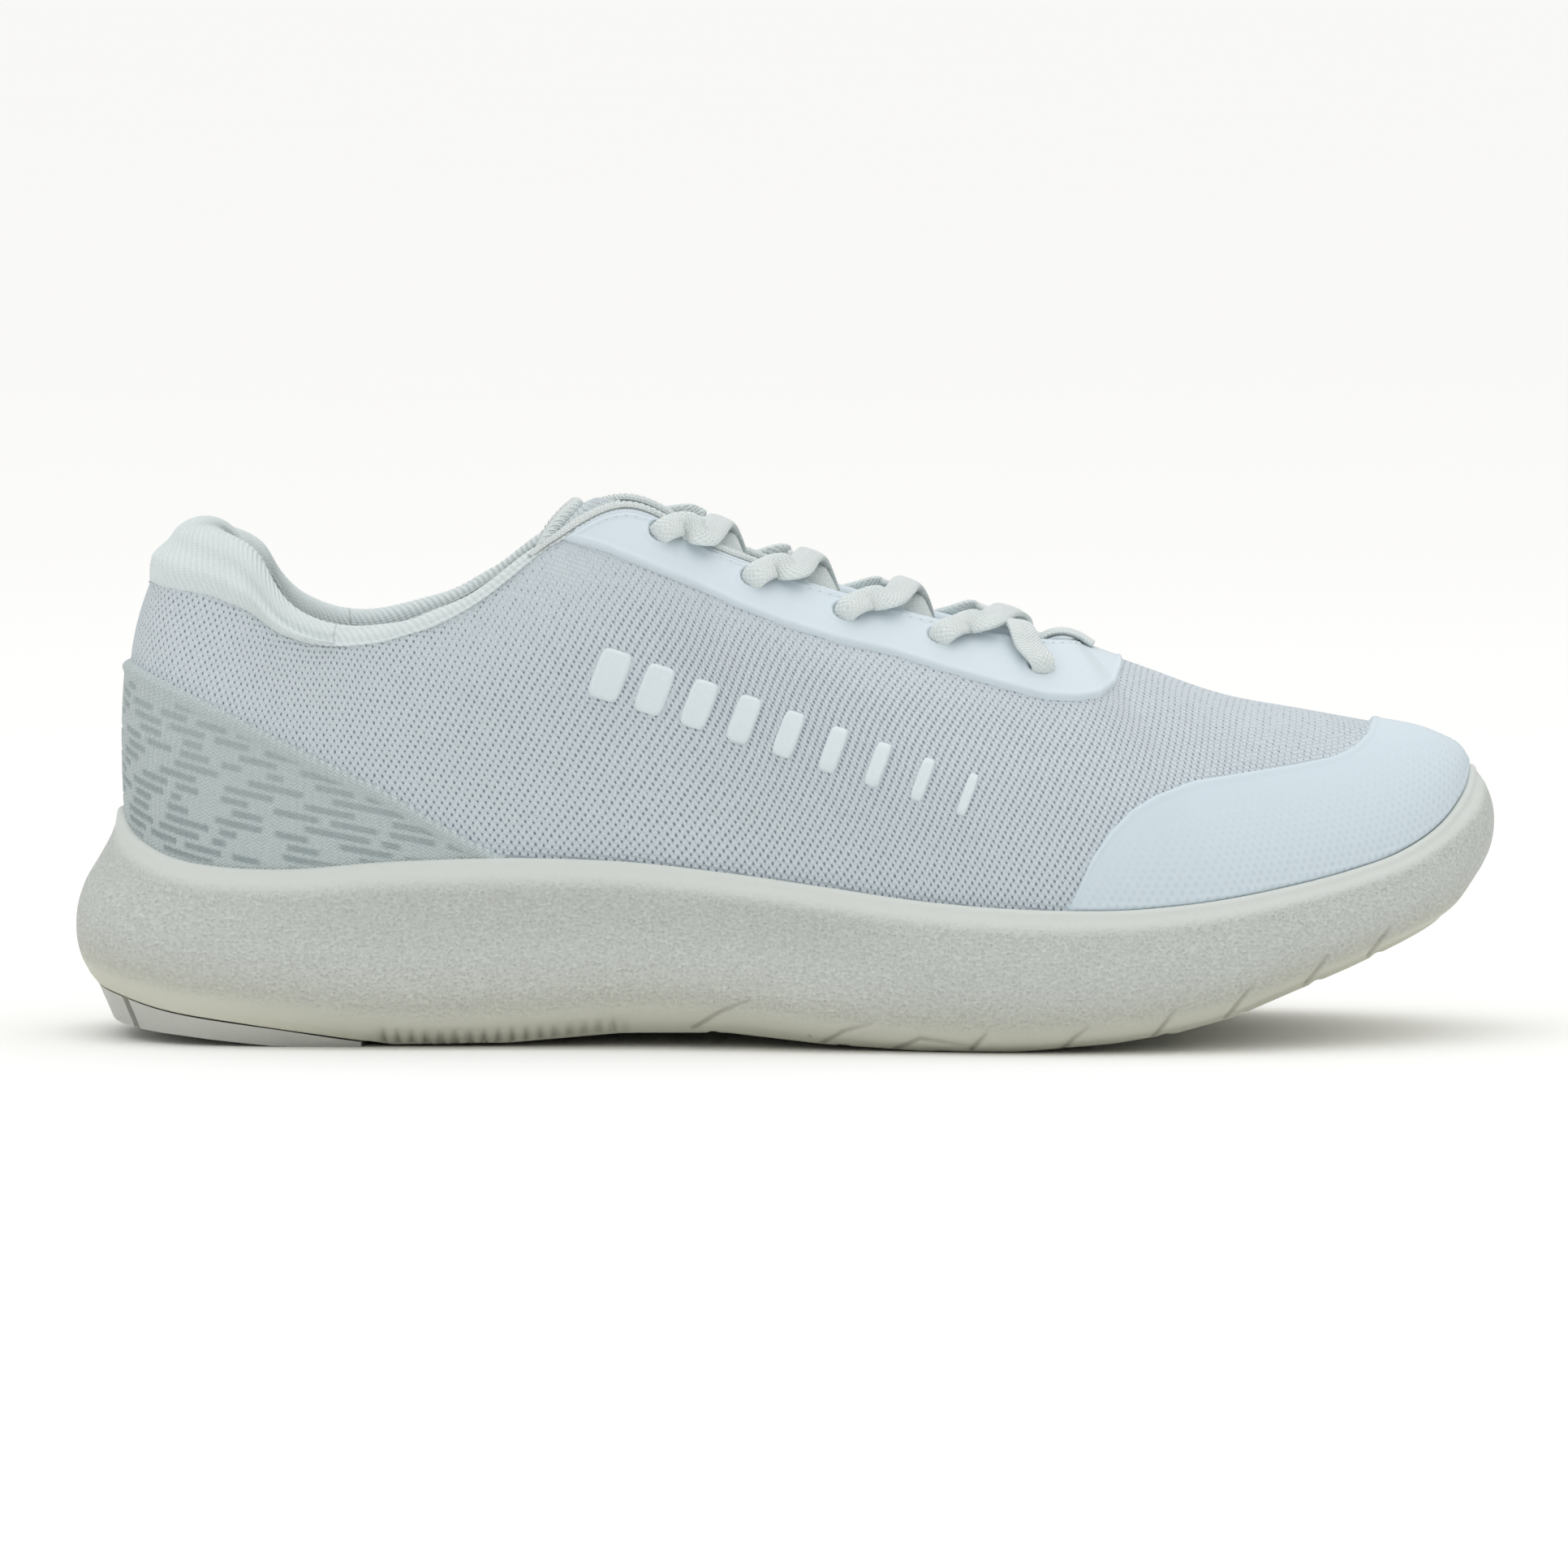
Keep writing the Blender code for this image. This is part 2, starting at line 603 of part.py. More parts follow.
layer("heel_counter", span(-4.5, 4.5, 0.5), lambda s: -0.85,
      lambda s: 0.60 - 0.028 * abs(s) ** 1.6, 3, -1.85, 1.0, STIFF, heel_sample)
layer("heel_knit_overlay", span(-5, 5, 0.5), just_above_lip,
      lambda s: max(0.07, crossing(s, HEEL_EDGE)), 4, OUTER, 0.5, JACQUARD, heel_sample)
layer("toe_puff", span(15.5, LOOP - 15.5, 0.5), lambda s: -0.8,
      lambda s: 0.5 + 0.1 * (fold(s)[0] - 15.2) / 3.8, 3, -1.9, 0.5, STIFF, ((130, -18, 52), (0.5, -0.8, 0)))


def toe_top(s):
    k, _ = fold(s)
    return 1.0 if k >= 17.1 else max(0.08, crossing(k, TOE_EDGE))


layer("toe_cap_overlay", span(10.5, LOOP - 10.5, 0.5), just_above_lip, toe_top, 5, OUTER + 0.55, 0.6, FILM, toe_sample)


def lining_top(s):
    """Behind the toes the lining stops below the eyelets."""
    return line([(0, 0.70), (12, 0.68), (13, 0.86), (13.5, 1.0)], fold(s)[0])


lining_at = [6.65, 7.3, 8, 9, 10, 11, 12] + span(13, 19, 0.5)
layer("vamp_lining", lining_at + [LOOP - k for k in lining_at[-2::-1]], lambda s: -0.9,
      lining_top, 4, -3.2, 0.6, RIB_KNIT, toe_sample)


# ---------------------------------------------------------------- eyestay
def stay_low(s):
    k, _ = fold(s)
    return min(0.965, crossing(k, EYESTAY_EDGE, below=False))


def stay_columns(d, rise=0.0):
    ks = [6.5 if d > 0 else 6.65, 7.0, 7.5] + span(8, 13, 0.5) + [13.35, 13.68]
    out = []
    for s in ks + [LOOP - k for k in reversed(ks)]:
        k, _ = fold(s)
        top = 0.985 if k < RIDGE - 0.25 else 1.0
        low = min(stay_low(s) + rise * (1 if k < 12.8 else 0.3), top - 0.02)
        out.append([skin(s, low + (top - low) * i / 3, d) for i in range(4)])
    return ks, out


def stay(name, d, thick, mat, rise=0.0):
    """The U round the throat: a lateral arm, the front over the ridge, a medial arm."""
    ks, columns = stay_columns(d, rise)
    bm = bmesh.new()
    rows = [[bm.verts.new(p * MM) for p in c] for c in columns]
    for i, (a, b) in enumerate(zip(rows, rows[1:])):
        if i == len(ks) - 1:  # between the last lateral and the first medial column there is only the ridge
            continue
        for j in range(3):
            bm.faces.new((a[j], b[j], b[j + 1], a[j + 1]))
    bmesh.ops.remove_doubles(bm, verts=bm.verts, dist=2e-6)
    face_out(bm, ((10, -25, 86), (0, -0.7, 0.7)))
    mesh = bpy.data.meshes.new(name)
    bm.to_mesh(mesh)
    bm.free()
    mesh.shade_smooth()
    o = add(name, mesh, mat)
    s = o.modifiers.new("thickness", "SOLIDIFY")
    s.thickness, s.offset = thick * MM, -1
    return o


eyestay = stay("eyestay_overlay", OUTER, 0.5, FILM)
backing = stay("eyestay_reinforcement", -2.1, 0.5, STIFF, 0.06)


def find(x, z):
    """Station and height of the lateral surface point seen at x, z from the side."""
    best = None
    for s in np.arange(6.6, 13.0, 0.05):
        for v in np.arange(0.70, 0.985, 0.01):
            p = rib(s, v)
            e = (p[0] - x) ** 2 + (p[2] - z) ** 2
            if best is None or e < best[0]:
                best = (e, s, v)
    return best[1], best[2]


holes = [find(x, z) for x, z in EYELETS]
bm = bmesh.new()
for s, v in holes:
    for q in (s, LOOP - s):
        p, n = rib(q, v), normal(q, v)
        z = n
        x = np.cross(z, (0, 0, 1.0))
        x /= np.linalg.norm(x)
        y = np.cross(z, x)
        made = bmesh.ops.create_cone(bm, cap_ends=True, segments=8, radius1=EYELET_R * MM, radius2=EYELET_R * MM,
                                     depth=12 * MM)
        for w in made["verts"]:
            c = np.array(w.co)
            w.co = x * c[0] + y * c[1] + z * c[2] + (p - n * 1.0) * MM
punch = add("eyelet_punch", finish_mesh(bm, "eyelet_punch"), None, cutters)
for o in (eyestay, backing, quarter):
    boolean(o, punch)


# ---------------------------------------------------------------- collar
def collar_frame(s):
    """The collar's edge, the way out and the way up its rib there."""
    p = rib(s, 1.0)
    up = rib(s, 1.0) - rib(s, 0.97)
    up /= np.linalg.norm(up)
    return p, normal(s, 0.985), up


def collar_path(s, inset, down, n_arc=4, start=None):
    """Outer seam, over the roll, then down the inside to height down, all moved in by inset."""
    k, _ = fold(s)
    r = float(half(np.array(ROLL + [1.3] * 12)[:, None], k)[0])
    w = float(half(np.array(PAD + [4.8] * 12)[:, None], k)[0])
    p, n, up = collar_frame(s)
    first = line(list(enumerate(SEAM)), k) if start is None else start
    pts = []
    if first < 0.975:
        pts += [skin(s, first, -inset), skin(s, (first + 1) / 2, 0.5 - inset)]
    else:
        pts += [skin(s, first, -inset), skin(s, first + 0.007, -inset)]
    centre = p - n * r
    for i in range(n_arc + 1):
        a = math.pi * i / n_arc
        pts.append(centre + (n * math.cos(a) + up * math.sin(a)) * (r - inset))
    for v, d in ((0.80, 0.3 * 2 * r + 0.7 * w), (0.48, 0.5 * w + 2.2), (0.25, 5.0), (0.0, 4.7), (-0.8, 4.7)):
        if v >= down - 1e-6:
            pts.append(skin(s, v, -d + inset))
    return pts


collar = [collar_path(s, 0, -0.8) for s in span(-6.5, 6.5, 0.5)]
# The surface given is the outer face of the roll, which is the inner face of the shoe below it.
shell("collar_lining", collar, 1.1, RIB_KNIT, ((-138, 0, 101), (-1, 0, 0.2)))


def foam_section(s):
    """The padding: inside the roll, between the knit and the lining."""
    k, _ = fold(s)
    r = float(half(np.array(ROLL)[:, None].repeat(1, 1).tolist() + [[1.3]] * 12, k)[0])
    inset = 2.6
    inner = collar_path(s, inset, 0.5, start=0.5)[2:]
    outer = [skin(s, v, -3.5) for v in (0.52, 0.66, 0.80)]
    outer.append(skin(s, 0.92, -3.5))
    return outer + inner[1:] if r - inset > 0.6 else outer + inner


bm = bmesh.new()
rows = [[bm.verts.new(p * MM) for p in foam_section(s)] for s in span(-4.6, 4.6, 0.46)]
size = len(rows[0])
for a, b in zip(rows, rows[1:]):
    for j in range(size):
        bm.faces.new((a[j], b[j], b[(j + 1) % size], a[(j + 1) % size]))
bm.faces.new(rows[0])
bm.faces.new(rows[-1][::-1])
add("collar_foam", finish_mesh(bm, "collar_foam"), PADDING)


# ---------------------------------------------------------------- tongue
def tongue_curve(s, depth, spread, n_side=2, n_mid=4):
    """A section of the tongue: down inside each quarter, and bridged over the instep."""
    k = s
    zc = float(spline(np.array(TONGUE_TOP)[:, None], k)[0])
    sides = []
    for q in (s, LOOP - s):
        sides.append([skin(q, 1 - spread * (1 - i / n_side), -depth - 7.6) for i in range(n_side + 1)])
    a, b = sides[0][-1], sides[1][-1]
    drop = depth
    ha = np.array([a[0], a[1] * 0.25, a[2] + (zc - drop - a[2]) * 4 / 3])
    hb = np.array([b[0], b[1] * 0.25, b[2] + (zc - drop - b[2]) * 4 / 3])
    mid = []
    for i in range(1, n_mid):
        t = i / n_mid
        u = 1 - t
        mid.append(u ** 3 * a + 3 * u * u * t * ha + 3 * u * t * t * hb + t ** 3 * b)
    curve = sides[0] + mid + sides[1][::-1]
    # The tongue's top leans forward over the instep, most at its middle.
    for p in curve:
        across = 1 - min(1.0, abs(p[1]) / abs(a[1])) ** 2
        p[0] += 0.55 * max(0.0, p[2] - 98) * min(1.0, max(0.0, (8 - s) / 2)) * across
    return curve


def tongue_layer(name, depth, thick, mat, ks, spread):
    columns = [tongue_curve(s, depth, spread(s)) for s in ks]
    return shell(name, columns, thick, mat, ((10, 0, 94), (0, 0, 1)))


spread = lambda s: 0.17 if s > 8 else 0.17 + 0.02 * (8 - s)
tongue_layer("tongue_mesh", 0.0, 1.0, KNIT, span(6.3, 12.3, 0.6), spread)
tongue_layer("tongue_foam", 1.35, 2.9, PADDING, span(6.3, 12.3, 0.6), lambda s: spread(s) - 0.03)
tongue_layer("tongue_lining", 5.3, 0.8, RIB_KNIT, span(6.3, 12.3, 0.6), lambda s: spread(s) - 0.03)
# The overlocked edge round the tongue's top: a tube along the end of its knit.
edge = tongue_curve(6.0, 0.5, spread(6.0), 4, 10)


def tube(name, points, radius, mat, resolution=2):
    c = bpy.data.curves.new(name, "CURVE")
    c.dimensions = "3D"
    sp = c.splines.new("POLY")
    sp.points.add(len(points) - 1)
    for i, p in enumerate(points):
        sp.points[i].co = (p[0] * MM, p[1] * MM, p[2] * MM, 1)
    c.bevel_depth = radius * MM
    c.bevel_resolution = resolution
    c.use_fill_caps = True
    c.materials.append(mat)
    o = bpy.data.objects.new(name, c)
    parts.objects.link(o)
    return o


def smooth(points, step):
    """The given points, with more from the Catmull-Rom curve through them wherever two are over a step apart."""
    out = []
    for i in range(len(points) - 1):
        n = max(1, round(float(np.linalg.norm(points[i + 1] - points[i])) / step))
        out += [spline(points, i + j / n) for j in range(n)]
    out.append(np.array(points[-1], float))
    return out, sum(float(np.linalg.norm(b - a)) for a, b in zip(out, out[1:]))


tube("tongue_binding", [p + np.array([-1.6, 0, 0.6]) for p in edge], 1.0, LACE)


# ---------------------------------------------------------------- lace
def toward(s0, s1, f):
    return s0 + (s1 - s0) * f


def at(side, k, v, d):
    return skin(k if side < 0 else LOOP - k, v, d)


OVER, BELOW = OUTER + GAP + LACE_R + 0.25, -3.9 - GAP - LACE_R - 0.25


def tongue_height(k):
    return float(spline(np.array(TONGUE_TOP)[:, None], k)[0])


def cross_point(k, lift):
    p = rib(k, 1.0)
    return np.array([p[0], 0.0, tongue_height(k) + GAP + LACE_R + lift])


def lace_half(side):
    """From beside the hidden front bar up to the tail's tip inside, starting at this side's front eyelet."""
    k, v = holes[4]
    pts = [at(side, k, 0.995, BELOW + 0.8), at(side, k, v + 0.05, BELOW), at(side, k, v, BELOW + 0.4), at(side, k, v, OVER)]
    for j in (4, 3, 2, 1):
        k0, v0 = holes[j]
        k1, v1 = holes[j - 1]
        if j == 4:
            pts.append(at(side, toward(k0, k1, 0.24), v0 + 0.05, OVER + 0.3))
            pts.append(at(side, toward(k0, k1, 0.36), 0.995, OVER + 0.4))
        pts.append(cross_point(toward(k0, k1, 0.5), 3.6 if side > 0 else 0.6))
        side = -side
        pts.append(at(side, toward(k0, k1, 0.74), 0.995, OVER + 0.4))
        pts.append(at(side, toward(k0, k1, 0.92), v1 + 0.05, OVER + 0.2))
        pts.append(at(side, k1, v1, OVER - 0.1))
        pts.append(at(side, k1, v1, BELOW + 0.1))
        if j > 1:
            k2 = holes[j - 2][0]
            pts.append(at(side, toward(k1, k2, 0.10), v1 + 0.05, BELOW - 0.1))
            pts.append(at(side, toward(k1, k2, 0.26), 0.995, BELOW + 0.3))
    k1, v1 = holes[0]
    for f in (0.25, 1.2, 2.4, 3.6):
        pts.append(at(side, k1 + f, v1 - 0.07 - 0.05 * f, BELOW - 0.1))
    return pts


first, second = lace_half(-1), lace_half(1)
bar = [cross_point(holes[4][0], 0.0)]
whole = first[::-1] + bar + second
points, LACE_LENGTH = smooth(whole, 11.0)


def trimmed(pts, cut):
    return pts[cut:-cut]


tube("lace", trimmed(points, 2), LACE_R, LACE, 2)
for name, p, q in (("lace_tip_lateral", points[0], points[2]), ("lace_tip_medial", points[-1], points[-3])):
    d = (q - p) / np.linalg.norm(q - p)
    tube(name, [p, q - d * 0.4], 1.1, TIP, 2)

# The stitched loop that holds the tongue and lace at the throat's front.
bpy.ops.mesh.primitive_cube_add(size=1, location=(60.2 * MM, 0, 85.4 * MM))
loop = bpy.context.object
loop.name = "lace_loop"
loop.data.name = "lace_loop"
for v in loop.data.vertices:
    v.co = (v.co[0] * 3.2 * MM, v.co[1] * 9.0 * MM, v.co[2] * 2.2 * MM)
loop.data.materials.append(LACE)
for c in list(loop.users_collection):
    c.objects.unlink(loop)
parts.objects.link(loop)
b = loop.modifiers.new("round", "BEVEL")
b.width, b.segments = 0.7 * MM, 2

# ---------------------------------------------------------------- side emblems: a carrier film for a row of bars
def band(rise):
    """A slanted line in side view, rise above the middle of the row of bars."""
    return [(x, 66 - 0.3256 * x + rise) for x in (-100, 100)]


for name, sgn in (("side_emblem_lateral", 1), ("side_emblem_medial", -1)):
    columns = []
    for k in span(5.9, 9.7, 0.76):
        low, high = crossing(k, band(-6.4)), crossing(k, band(6.4))
        columns.append([skin(k if sgn > 0 else LOOP - k, low + (high - low) * i / 3, OUTER) for i in range(4)])
    shell(name, columns, 0.5, TRANSFER, ((0, -44 * sgn, 66), (0, -sgn, 0)))

# ---------------------------------------------------------------- moving groups turn about their own axes
shoe = bpy.data.objects.new("shoe_axis", None)
toe = bpy.data.objects.new("toe_axis", None)
tongue = bpy.data.objects.new("tongue_axis", None)
toe.location = (FLEX_X * MM, 0, FLEX_Z * MM)
tongue.location = (61 * MM, 0, 76 * MM)
for e in (shoe, toe, tongue):
    parts.objects.link(e)
bpy.context.view_layer.update()
for o in list(parts.objects):
    if o.type == "EMPTY":
        continue
    if o.name in ("midsole_toe", "outsole_toe", "toe_box_mesh", "toe_puff", "toe_cap_overlay"):
        o.parent = toe
        o.matrix_parent_inverse = toe.matrix_world.inverted()
    elif o.name.startswith("tongue_"):
        o.parent = tongue
        o.matrix_parent_inverse = tongue.matrix_world.inverted()
    else:
        o.parent = shoe
bpy.context.view_layer.update()
print("lace length %.0f mm" % LACE_LENGTH)
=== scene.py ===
import math

import bmesh
import bpy
import numpy as np
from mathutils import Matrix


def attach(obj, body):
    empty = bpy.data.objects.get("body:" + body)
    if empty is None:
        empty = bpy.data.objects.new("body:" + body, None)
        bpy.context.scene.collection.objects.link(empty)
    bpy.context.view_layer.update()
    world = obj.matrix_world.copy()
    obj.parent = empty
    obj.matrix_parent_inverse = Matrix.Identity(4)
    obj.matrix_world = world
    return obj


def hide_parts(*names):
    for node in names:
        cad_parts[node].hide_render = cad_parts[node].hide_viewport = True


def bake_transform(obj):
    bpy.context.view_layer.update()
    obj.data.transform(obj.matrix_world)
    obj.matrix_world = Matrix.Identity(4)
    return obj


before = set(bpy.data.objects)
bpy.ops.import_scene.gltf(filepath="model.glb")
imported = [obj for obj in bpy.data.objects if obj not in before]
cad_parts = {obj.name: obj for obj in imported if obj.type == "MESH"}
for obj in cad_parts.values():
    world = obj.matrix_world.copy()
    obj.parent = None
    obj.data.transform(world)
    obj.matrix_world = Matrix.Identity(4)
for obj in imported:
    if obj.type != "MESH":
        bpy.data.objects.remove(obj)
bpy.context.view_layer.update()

MM = 0.001
HALF, LOOP, RIDGE = 19, 38, 13
rng = np.random.default_rng(7)

# ------------------------------------------------------------------ the surface, as the CAD part draws it (mm)
LATERAL = [
    (-141.2, 0, 48), (-137.5, -17.5, 43), (-126, -30, 38.6), (-106, -36, 37.4), (-82, -38, 39.2),
    (-58, -37.8, 39.9), (-34, -38.2, 39.2), (-12, -41.2, 37), (8, -45, 34.4), (28, -49, 31.8),
    (48, -51.5, 30.3), (68, -51.5, 30), (82, -49, 30.8), (94, -45.5, 32.2), (106, -40, 34.2),
    (118, -34, 36.8), (129.5, -26.5, 40.2), (138.7, -17, 45.2), (144.6, -6.5, 51.6), (146.4, 4.5, 56.6),
]
MEDIAL = [
    (-141.2, 0, 48), (-137.5, 17.5, 43), (-126, 30, 38.6), (-106, 36, 37.4), (-82, 37.5, 39.4),
    (-58, 36.2, 40.4), (-34, 35.8, 40), (-12, 37.5, 38), (8, 41, 35.4), (28, 45.5, 32.6),
    (48, 49.5, 30.8), (68, 52, 30.2), (82, 52, 30.8), (94, 50, 32.2), (106, 46.5, 34.2),
    (118, 42, 36.8), (130, 34.5, 40.2), (139, 25.5, 45.2), (144.7, 15.5, 51.6), (146.4, 4.5, 56.6),
]
OUTLINE = np.array(LATERAL + MEDIAL[18:0:-1], float)
FLOOR = [26, 26, 25.5, 25, 25, 25, 24, 22.5, 21, 19.5, 18.5, 18.5, 19.5, 21.5, 24.5, 28, 32, 35.5, 38, 39]
UNDER = [11.5, 10.5, 7.2, 4.2, 0.8, 1.1, 3.2, 3.5, 1.5, 0.4, 0.4, 2.1, 4.2, 7.2, 11.8, 16.3, 21, 25, 28, 28.5]
RISE = (0, 0.06, 0.16, 0.28, 0.44, 0.60, 0.75, 0.90, 1.0)
HEEL_BACK = (4.4, 6.0, 7.7, 8.6, 8.4, 6.6, 3.5, 0.8, 0)
HEEL_SIDE = (3.2, 4.0, 5.0, 5.8, 5.8, 4.6, 2.8, 1.1, 0)
WAIST_IN = (0.5, 2.2, 4.4, 5.2, 4.6, 3.2, 2.0, 1.2, 0)
WAIST = (-4.0, -0.5, 3.2, 4.4, 3.0, 0.9, 0.5, 0.9, 0)
FORE = (-4.5, -0.8, 1.8, 3.2, 3.6, 3.2, 2.2, 1.2, 0)
TOE = (-6.0, -3.4, -0.8, 1.5, 3.2, 3.8, 3.4, 1.9, 0)
WALL = np.array([HEEL_BACK, HEEL_BACK, HEEL_SIDE, WAIST_IN, WAIST, WAIST, WAIST, WAIST, WAIST, FORE,
                 FORE, FORE, FORE, FORE, FORE, FORE, FORE, FORE, TOE, TOE], float)
TOP = np.array([
    (-130, 0, 104.5, 26, 1.0, 9.5, 18.5), (-127.5, 12.5, 103.5, 26, 1.0, 8, 18), (-115, 23.5, 99, 22, 1.2, 6, 17),
    (-103, 31, 87.5, 18, 1.5, 4.5, 15), (-87, 34, 85, 16, 1.2, 4, 14), (-67, 32.5, 91.8, 18, 1.0, 4.5, 17),
    (-49, 24.5, 105, 22, 1.0, 9, 18), (-33, 16, 111.5, 26, 1.0, 13, 15), (-14.6, 14.5, 102.8, 25, 0.8, 15, 13),
    (6.5, 13.5, 95.3, 22, 0.6, 17, 12), (31, 12.5, 88.2, 19, 0.5, 18, 11), (50, 11.5, 84.2, 17, 0.5, 19, 10),
    (59, 7.5, 83, 16, 0.5, 20, 6), (61.5, 0, 82.6, 15, 0.5, 20, 1), (75, 0, 77.8, 13, 0.5, 20, 0.3),
    (92, 0, 71.8, 12, 0.4, 18, 0.2), (109, 0, 68.6, 10, 0.3, 14, 0.2), (123, 0, 66, 8, 0.3, 10, 0.1),
    (133.5, 0, 64, 6, 0.2, 6, 0.1), (140.5, 0, 61.2, 2, 0.2, 2, 0.1),
], float)
RIDGE_Y = [0, 0, 0.5, 1, 2, 3, 4]
ROLL = [8.6, 7.6, 6.4, 5.1, 3.9, 2.9, 1.9, 1.3]
PAD = [9.5, 9.5, 9.0, 8.0, 7.0, 6.2, 5.4, 4.8]
SEAM = [0.84, 0.85, 0.88, 0.96, 0.985, 0.985, 0.985, 0.985]
TONGUE_TOP = [0, 0, 0, 0, 0, 114.5, 113.6, 111.2, 102.8, 95, 87.8, 82.8, 80.3, 79.6]
EYELETS = [(-26.4, 106.5), (-7, 96.7), (12.4, 89.6), (32.4, 84.4), (53.5, 78.2)]
EYESTAY_EDGE = [(-46, 105.5), (-37.6, 103), (-30, 100), (-19, 95.5), (-10, 91.3), (0, 87.4), (11, 84), (22, 81.5),
                (33, 78), (44, 75), (55, 72.2), (61, 71.8), (66, 72.4), (69.5, 74.5), (71.2, 78), (71.4, 84)]
TOE_EDGE = [(58.5, 29), (61.3, 35.6), (63.8, 41), (67.4, 46), (72, 50.4), (77, 53.2), (84.6, 55.7), (95.8, 57),
            (107, 58.2), (114.5, 59.4), (119, 61), (122.5, 63.5), (124, 66.5), (124.4, 72)]
HEEL_EDGE = [(-145, 80), (-137, 79), (-133.7, 77.5), (-127.7, 75), (-118.8, 71), (-110.5, 67), (-101.6, 62.8),
             (-92.7, 58.5), (-85.3, 55), (-77.8, 50.6), (-72, 47), (-66.6, 44), (-60, 40.5)]
FILM_D = 1.05


def catmull(rows, k, closed=False):
    rows = np.asarray(rows, float)
    if rows.ndim == 1:
        rows = rows[:, None]
    k = np.atleast_1d(np.asarray(k, float))
    n = len(rows)
    if closed:
        i = np.floor(k).astype(int)
        a, b, c, d = (rows[(i + j) % n] for j in (-1, 0, 1, 2))
    else:
        i = np.clip(np.floor(k).astype(int), 0, n - 2)
        ext = np.concatenate([2 * rows[:1] - rows[1:2], rows, 2 * rows[-1:] - rows[-2:-1]])
        a, b, c, d = (ext[i + j + 1] for j in (-1, 0, 1, 2))
    t = (k - i).reshape(-1, *[1] * (rows.ndim - 1))
    return 0.5 * (2 * b + (c - a) * t + (2 * a - 5 * b + 4 * c - d) * t * t + (3 * b - a - 3 * c + d) * t ** 3)


def fold(s):
    s = np.asarray(s, float) % LOOP
    return np.minimum(s, LOOP - s), np.where(s <= HALF, -1.0, 1.0)


def half(rows, s):
    rows = np.asarray(rows, float)
    return catmull(np.concatenate([rows, rows[-2:0:-1]]), np.asarray(s, float) % LOOP, True)


def outline(s):
    return catmull(OUTLINE, np.asarray(s, float) % LOOP, True)


def outward(s):
    t = outline(np.asarray(s) + 0.05) - outline(np.asarray(s) - 0.05)
    n = np.stack([t[:, 1], -t[:, 0], 0 * t[:, 0]], 1)
    return n / np.linalg.norm(n, axis=1, keepdims=True)


FRONT_ROWS = TOP[RIDGE:].copy()
FRONT_ROWS[:, 1] = RIDGE_Y
REAR_ROWS = np.concatenate([TOP[1:2], TOP[:RIDGE + 1]])
REAR_ROWS[0, 1] *= -1


def end_of_rib(s):
    k, side = fold(s)
    rear = catmull(REAR_ROWS, np.minimum(k, RIDGE) + 1)
    rear[:, 1] *= side
    return np.where((k >= RIDGE)[:, None], catmull(FRONT_ROWS, np.maximum(k - RIDGE, 0)), rear)


def over_ridge(s):
    k, _ = fold(s)
    kk = np.clip(k, RIDGE, HALF - 0.3)
    a, b = end_of_rib(kk), end_of_rib(np.minimum(np.maximum(k, RIDGE) + 0.3, HALF))
    slope = (a[:, 2] - b[:, 2]) / (b[:, 0] - a[:, 0])
    f = np.clip(k - RIDGE + 1, 0, 1)
    return f * f * (3 - 2 * f) * slope


def rib(s, v):
    """The upper's outer surface: v is 0 at the midsole's lip, 1 at the top, -1 at the footbed."""
    s, v = np.broadcast_arrays(np.atleast_1d(np.asarray(s, float)), np.atleast_1d(np.asarray(v, float)))
    o, n = outline(s), outward(s)
    lip = o - n * 2.6
    lip[:, 2] = o[:, 2] - 0.5
    floor = half(FLOOR, fold(s)[0])[:, 0] + 0.6
    low = lip.copy()
    low[:, 2] += (lip[:, 2] - floor) * v
    e = end_of_rib(s)
    t = e[:, :3]
    h1 = lip + n * e[:, 4:5]
    h1[:, 2] += e[:, 3]
    h2 = t + n * e[:, 5:6]
    h2[:, 2] -= e[:, 6] + over_ridge(s) * e[:, 5] * n[:, 0]
    u, w = (1 - v)[:, None], v[:, None]
    up = u ** 3 * lip + 3 * u * u * w * h1 + 3 * u * w * w * h2 + w ** 3 * t
    return np.where((v <= 0)[:, None], low, up)


def raw_normal(s, v):
    vv = np.clip(v, -0.97, 0.985)
    ds = rib(s + 0.02, vv) - rib(s - 0.02, vv)
    dv = rib(s, vv + 0.015) - rib(s, vv - 0.015)
    n = np.cross(ds, dv)
    n /= np.linalg.norm(n, axis=1, keepdims=True)
    out = outward(s) + np.array([0, 0, 0.6])
    return n * np.where((n * out).sum(1) > 0, 1.0, -1.0)[:, None]


def normal(s, v):
    s, v = (np.array(a) for a in np.broadcast_arrays(np.atleast_1d(np.asarray(s, float)), np.atleast_1d(np.asarray(v, float))))
    k, side = fold(s)
    at_tip = k > HALF - 0.02
    s = np.where(at_tip, np.where(s % LOOP <= HALF, s - 0.05, s + 0.05), s)
    n = raw_normal(s, v)
    other = raw_normal((LOOP - s) % LOOP, v)
    n = np.where(at_tip[:, None], n + other, n)
    k2, _ = fold(s)
    near = np.clip((v - 0.93) / 0.07, 0, 1) * (k2 >= RIDGE)  # the two halves share one normal on the ridge
    mirrored = n + other * near[:, None]
    flat = mirrored.copy()
    flat[:, 1] *= 1 - near
    n = np.where((near > 0)[:, None], flat, n)
    return n / np.linalg.norm(n, axis=1, keepdims=True)


def skin(s, v, d=0.0):
    s, v, d = np.broadcast_arrays(*(np.atleast_1d(np.asarray(a, float)) for a in (s, v, d)))
    return rib(s.ravel(), v.ravel()) + normal(s.ravel(), v.ravel()) * d.ravel()[:, None]


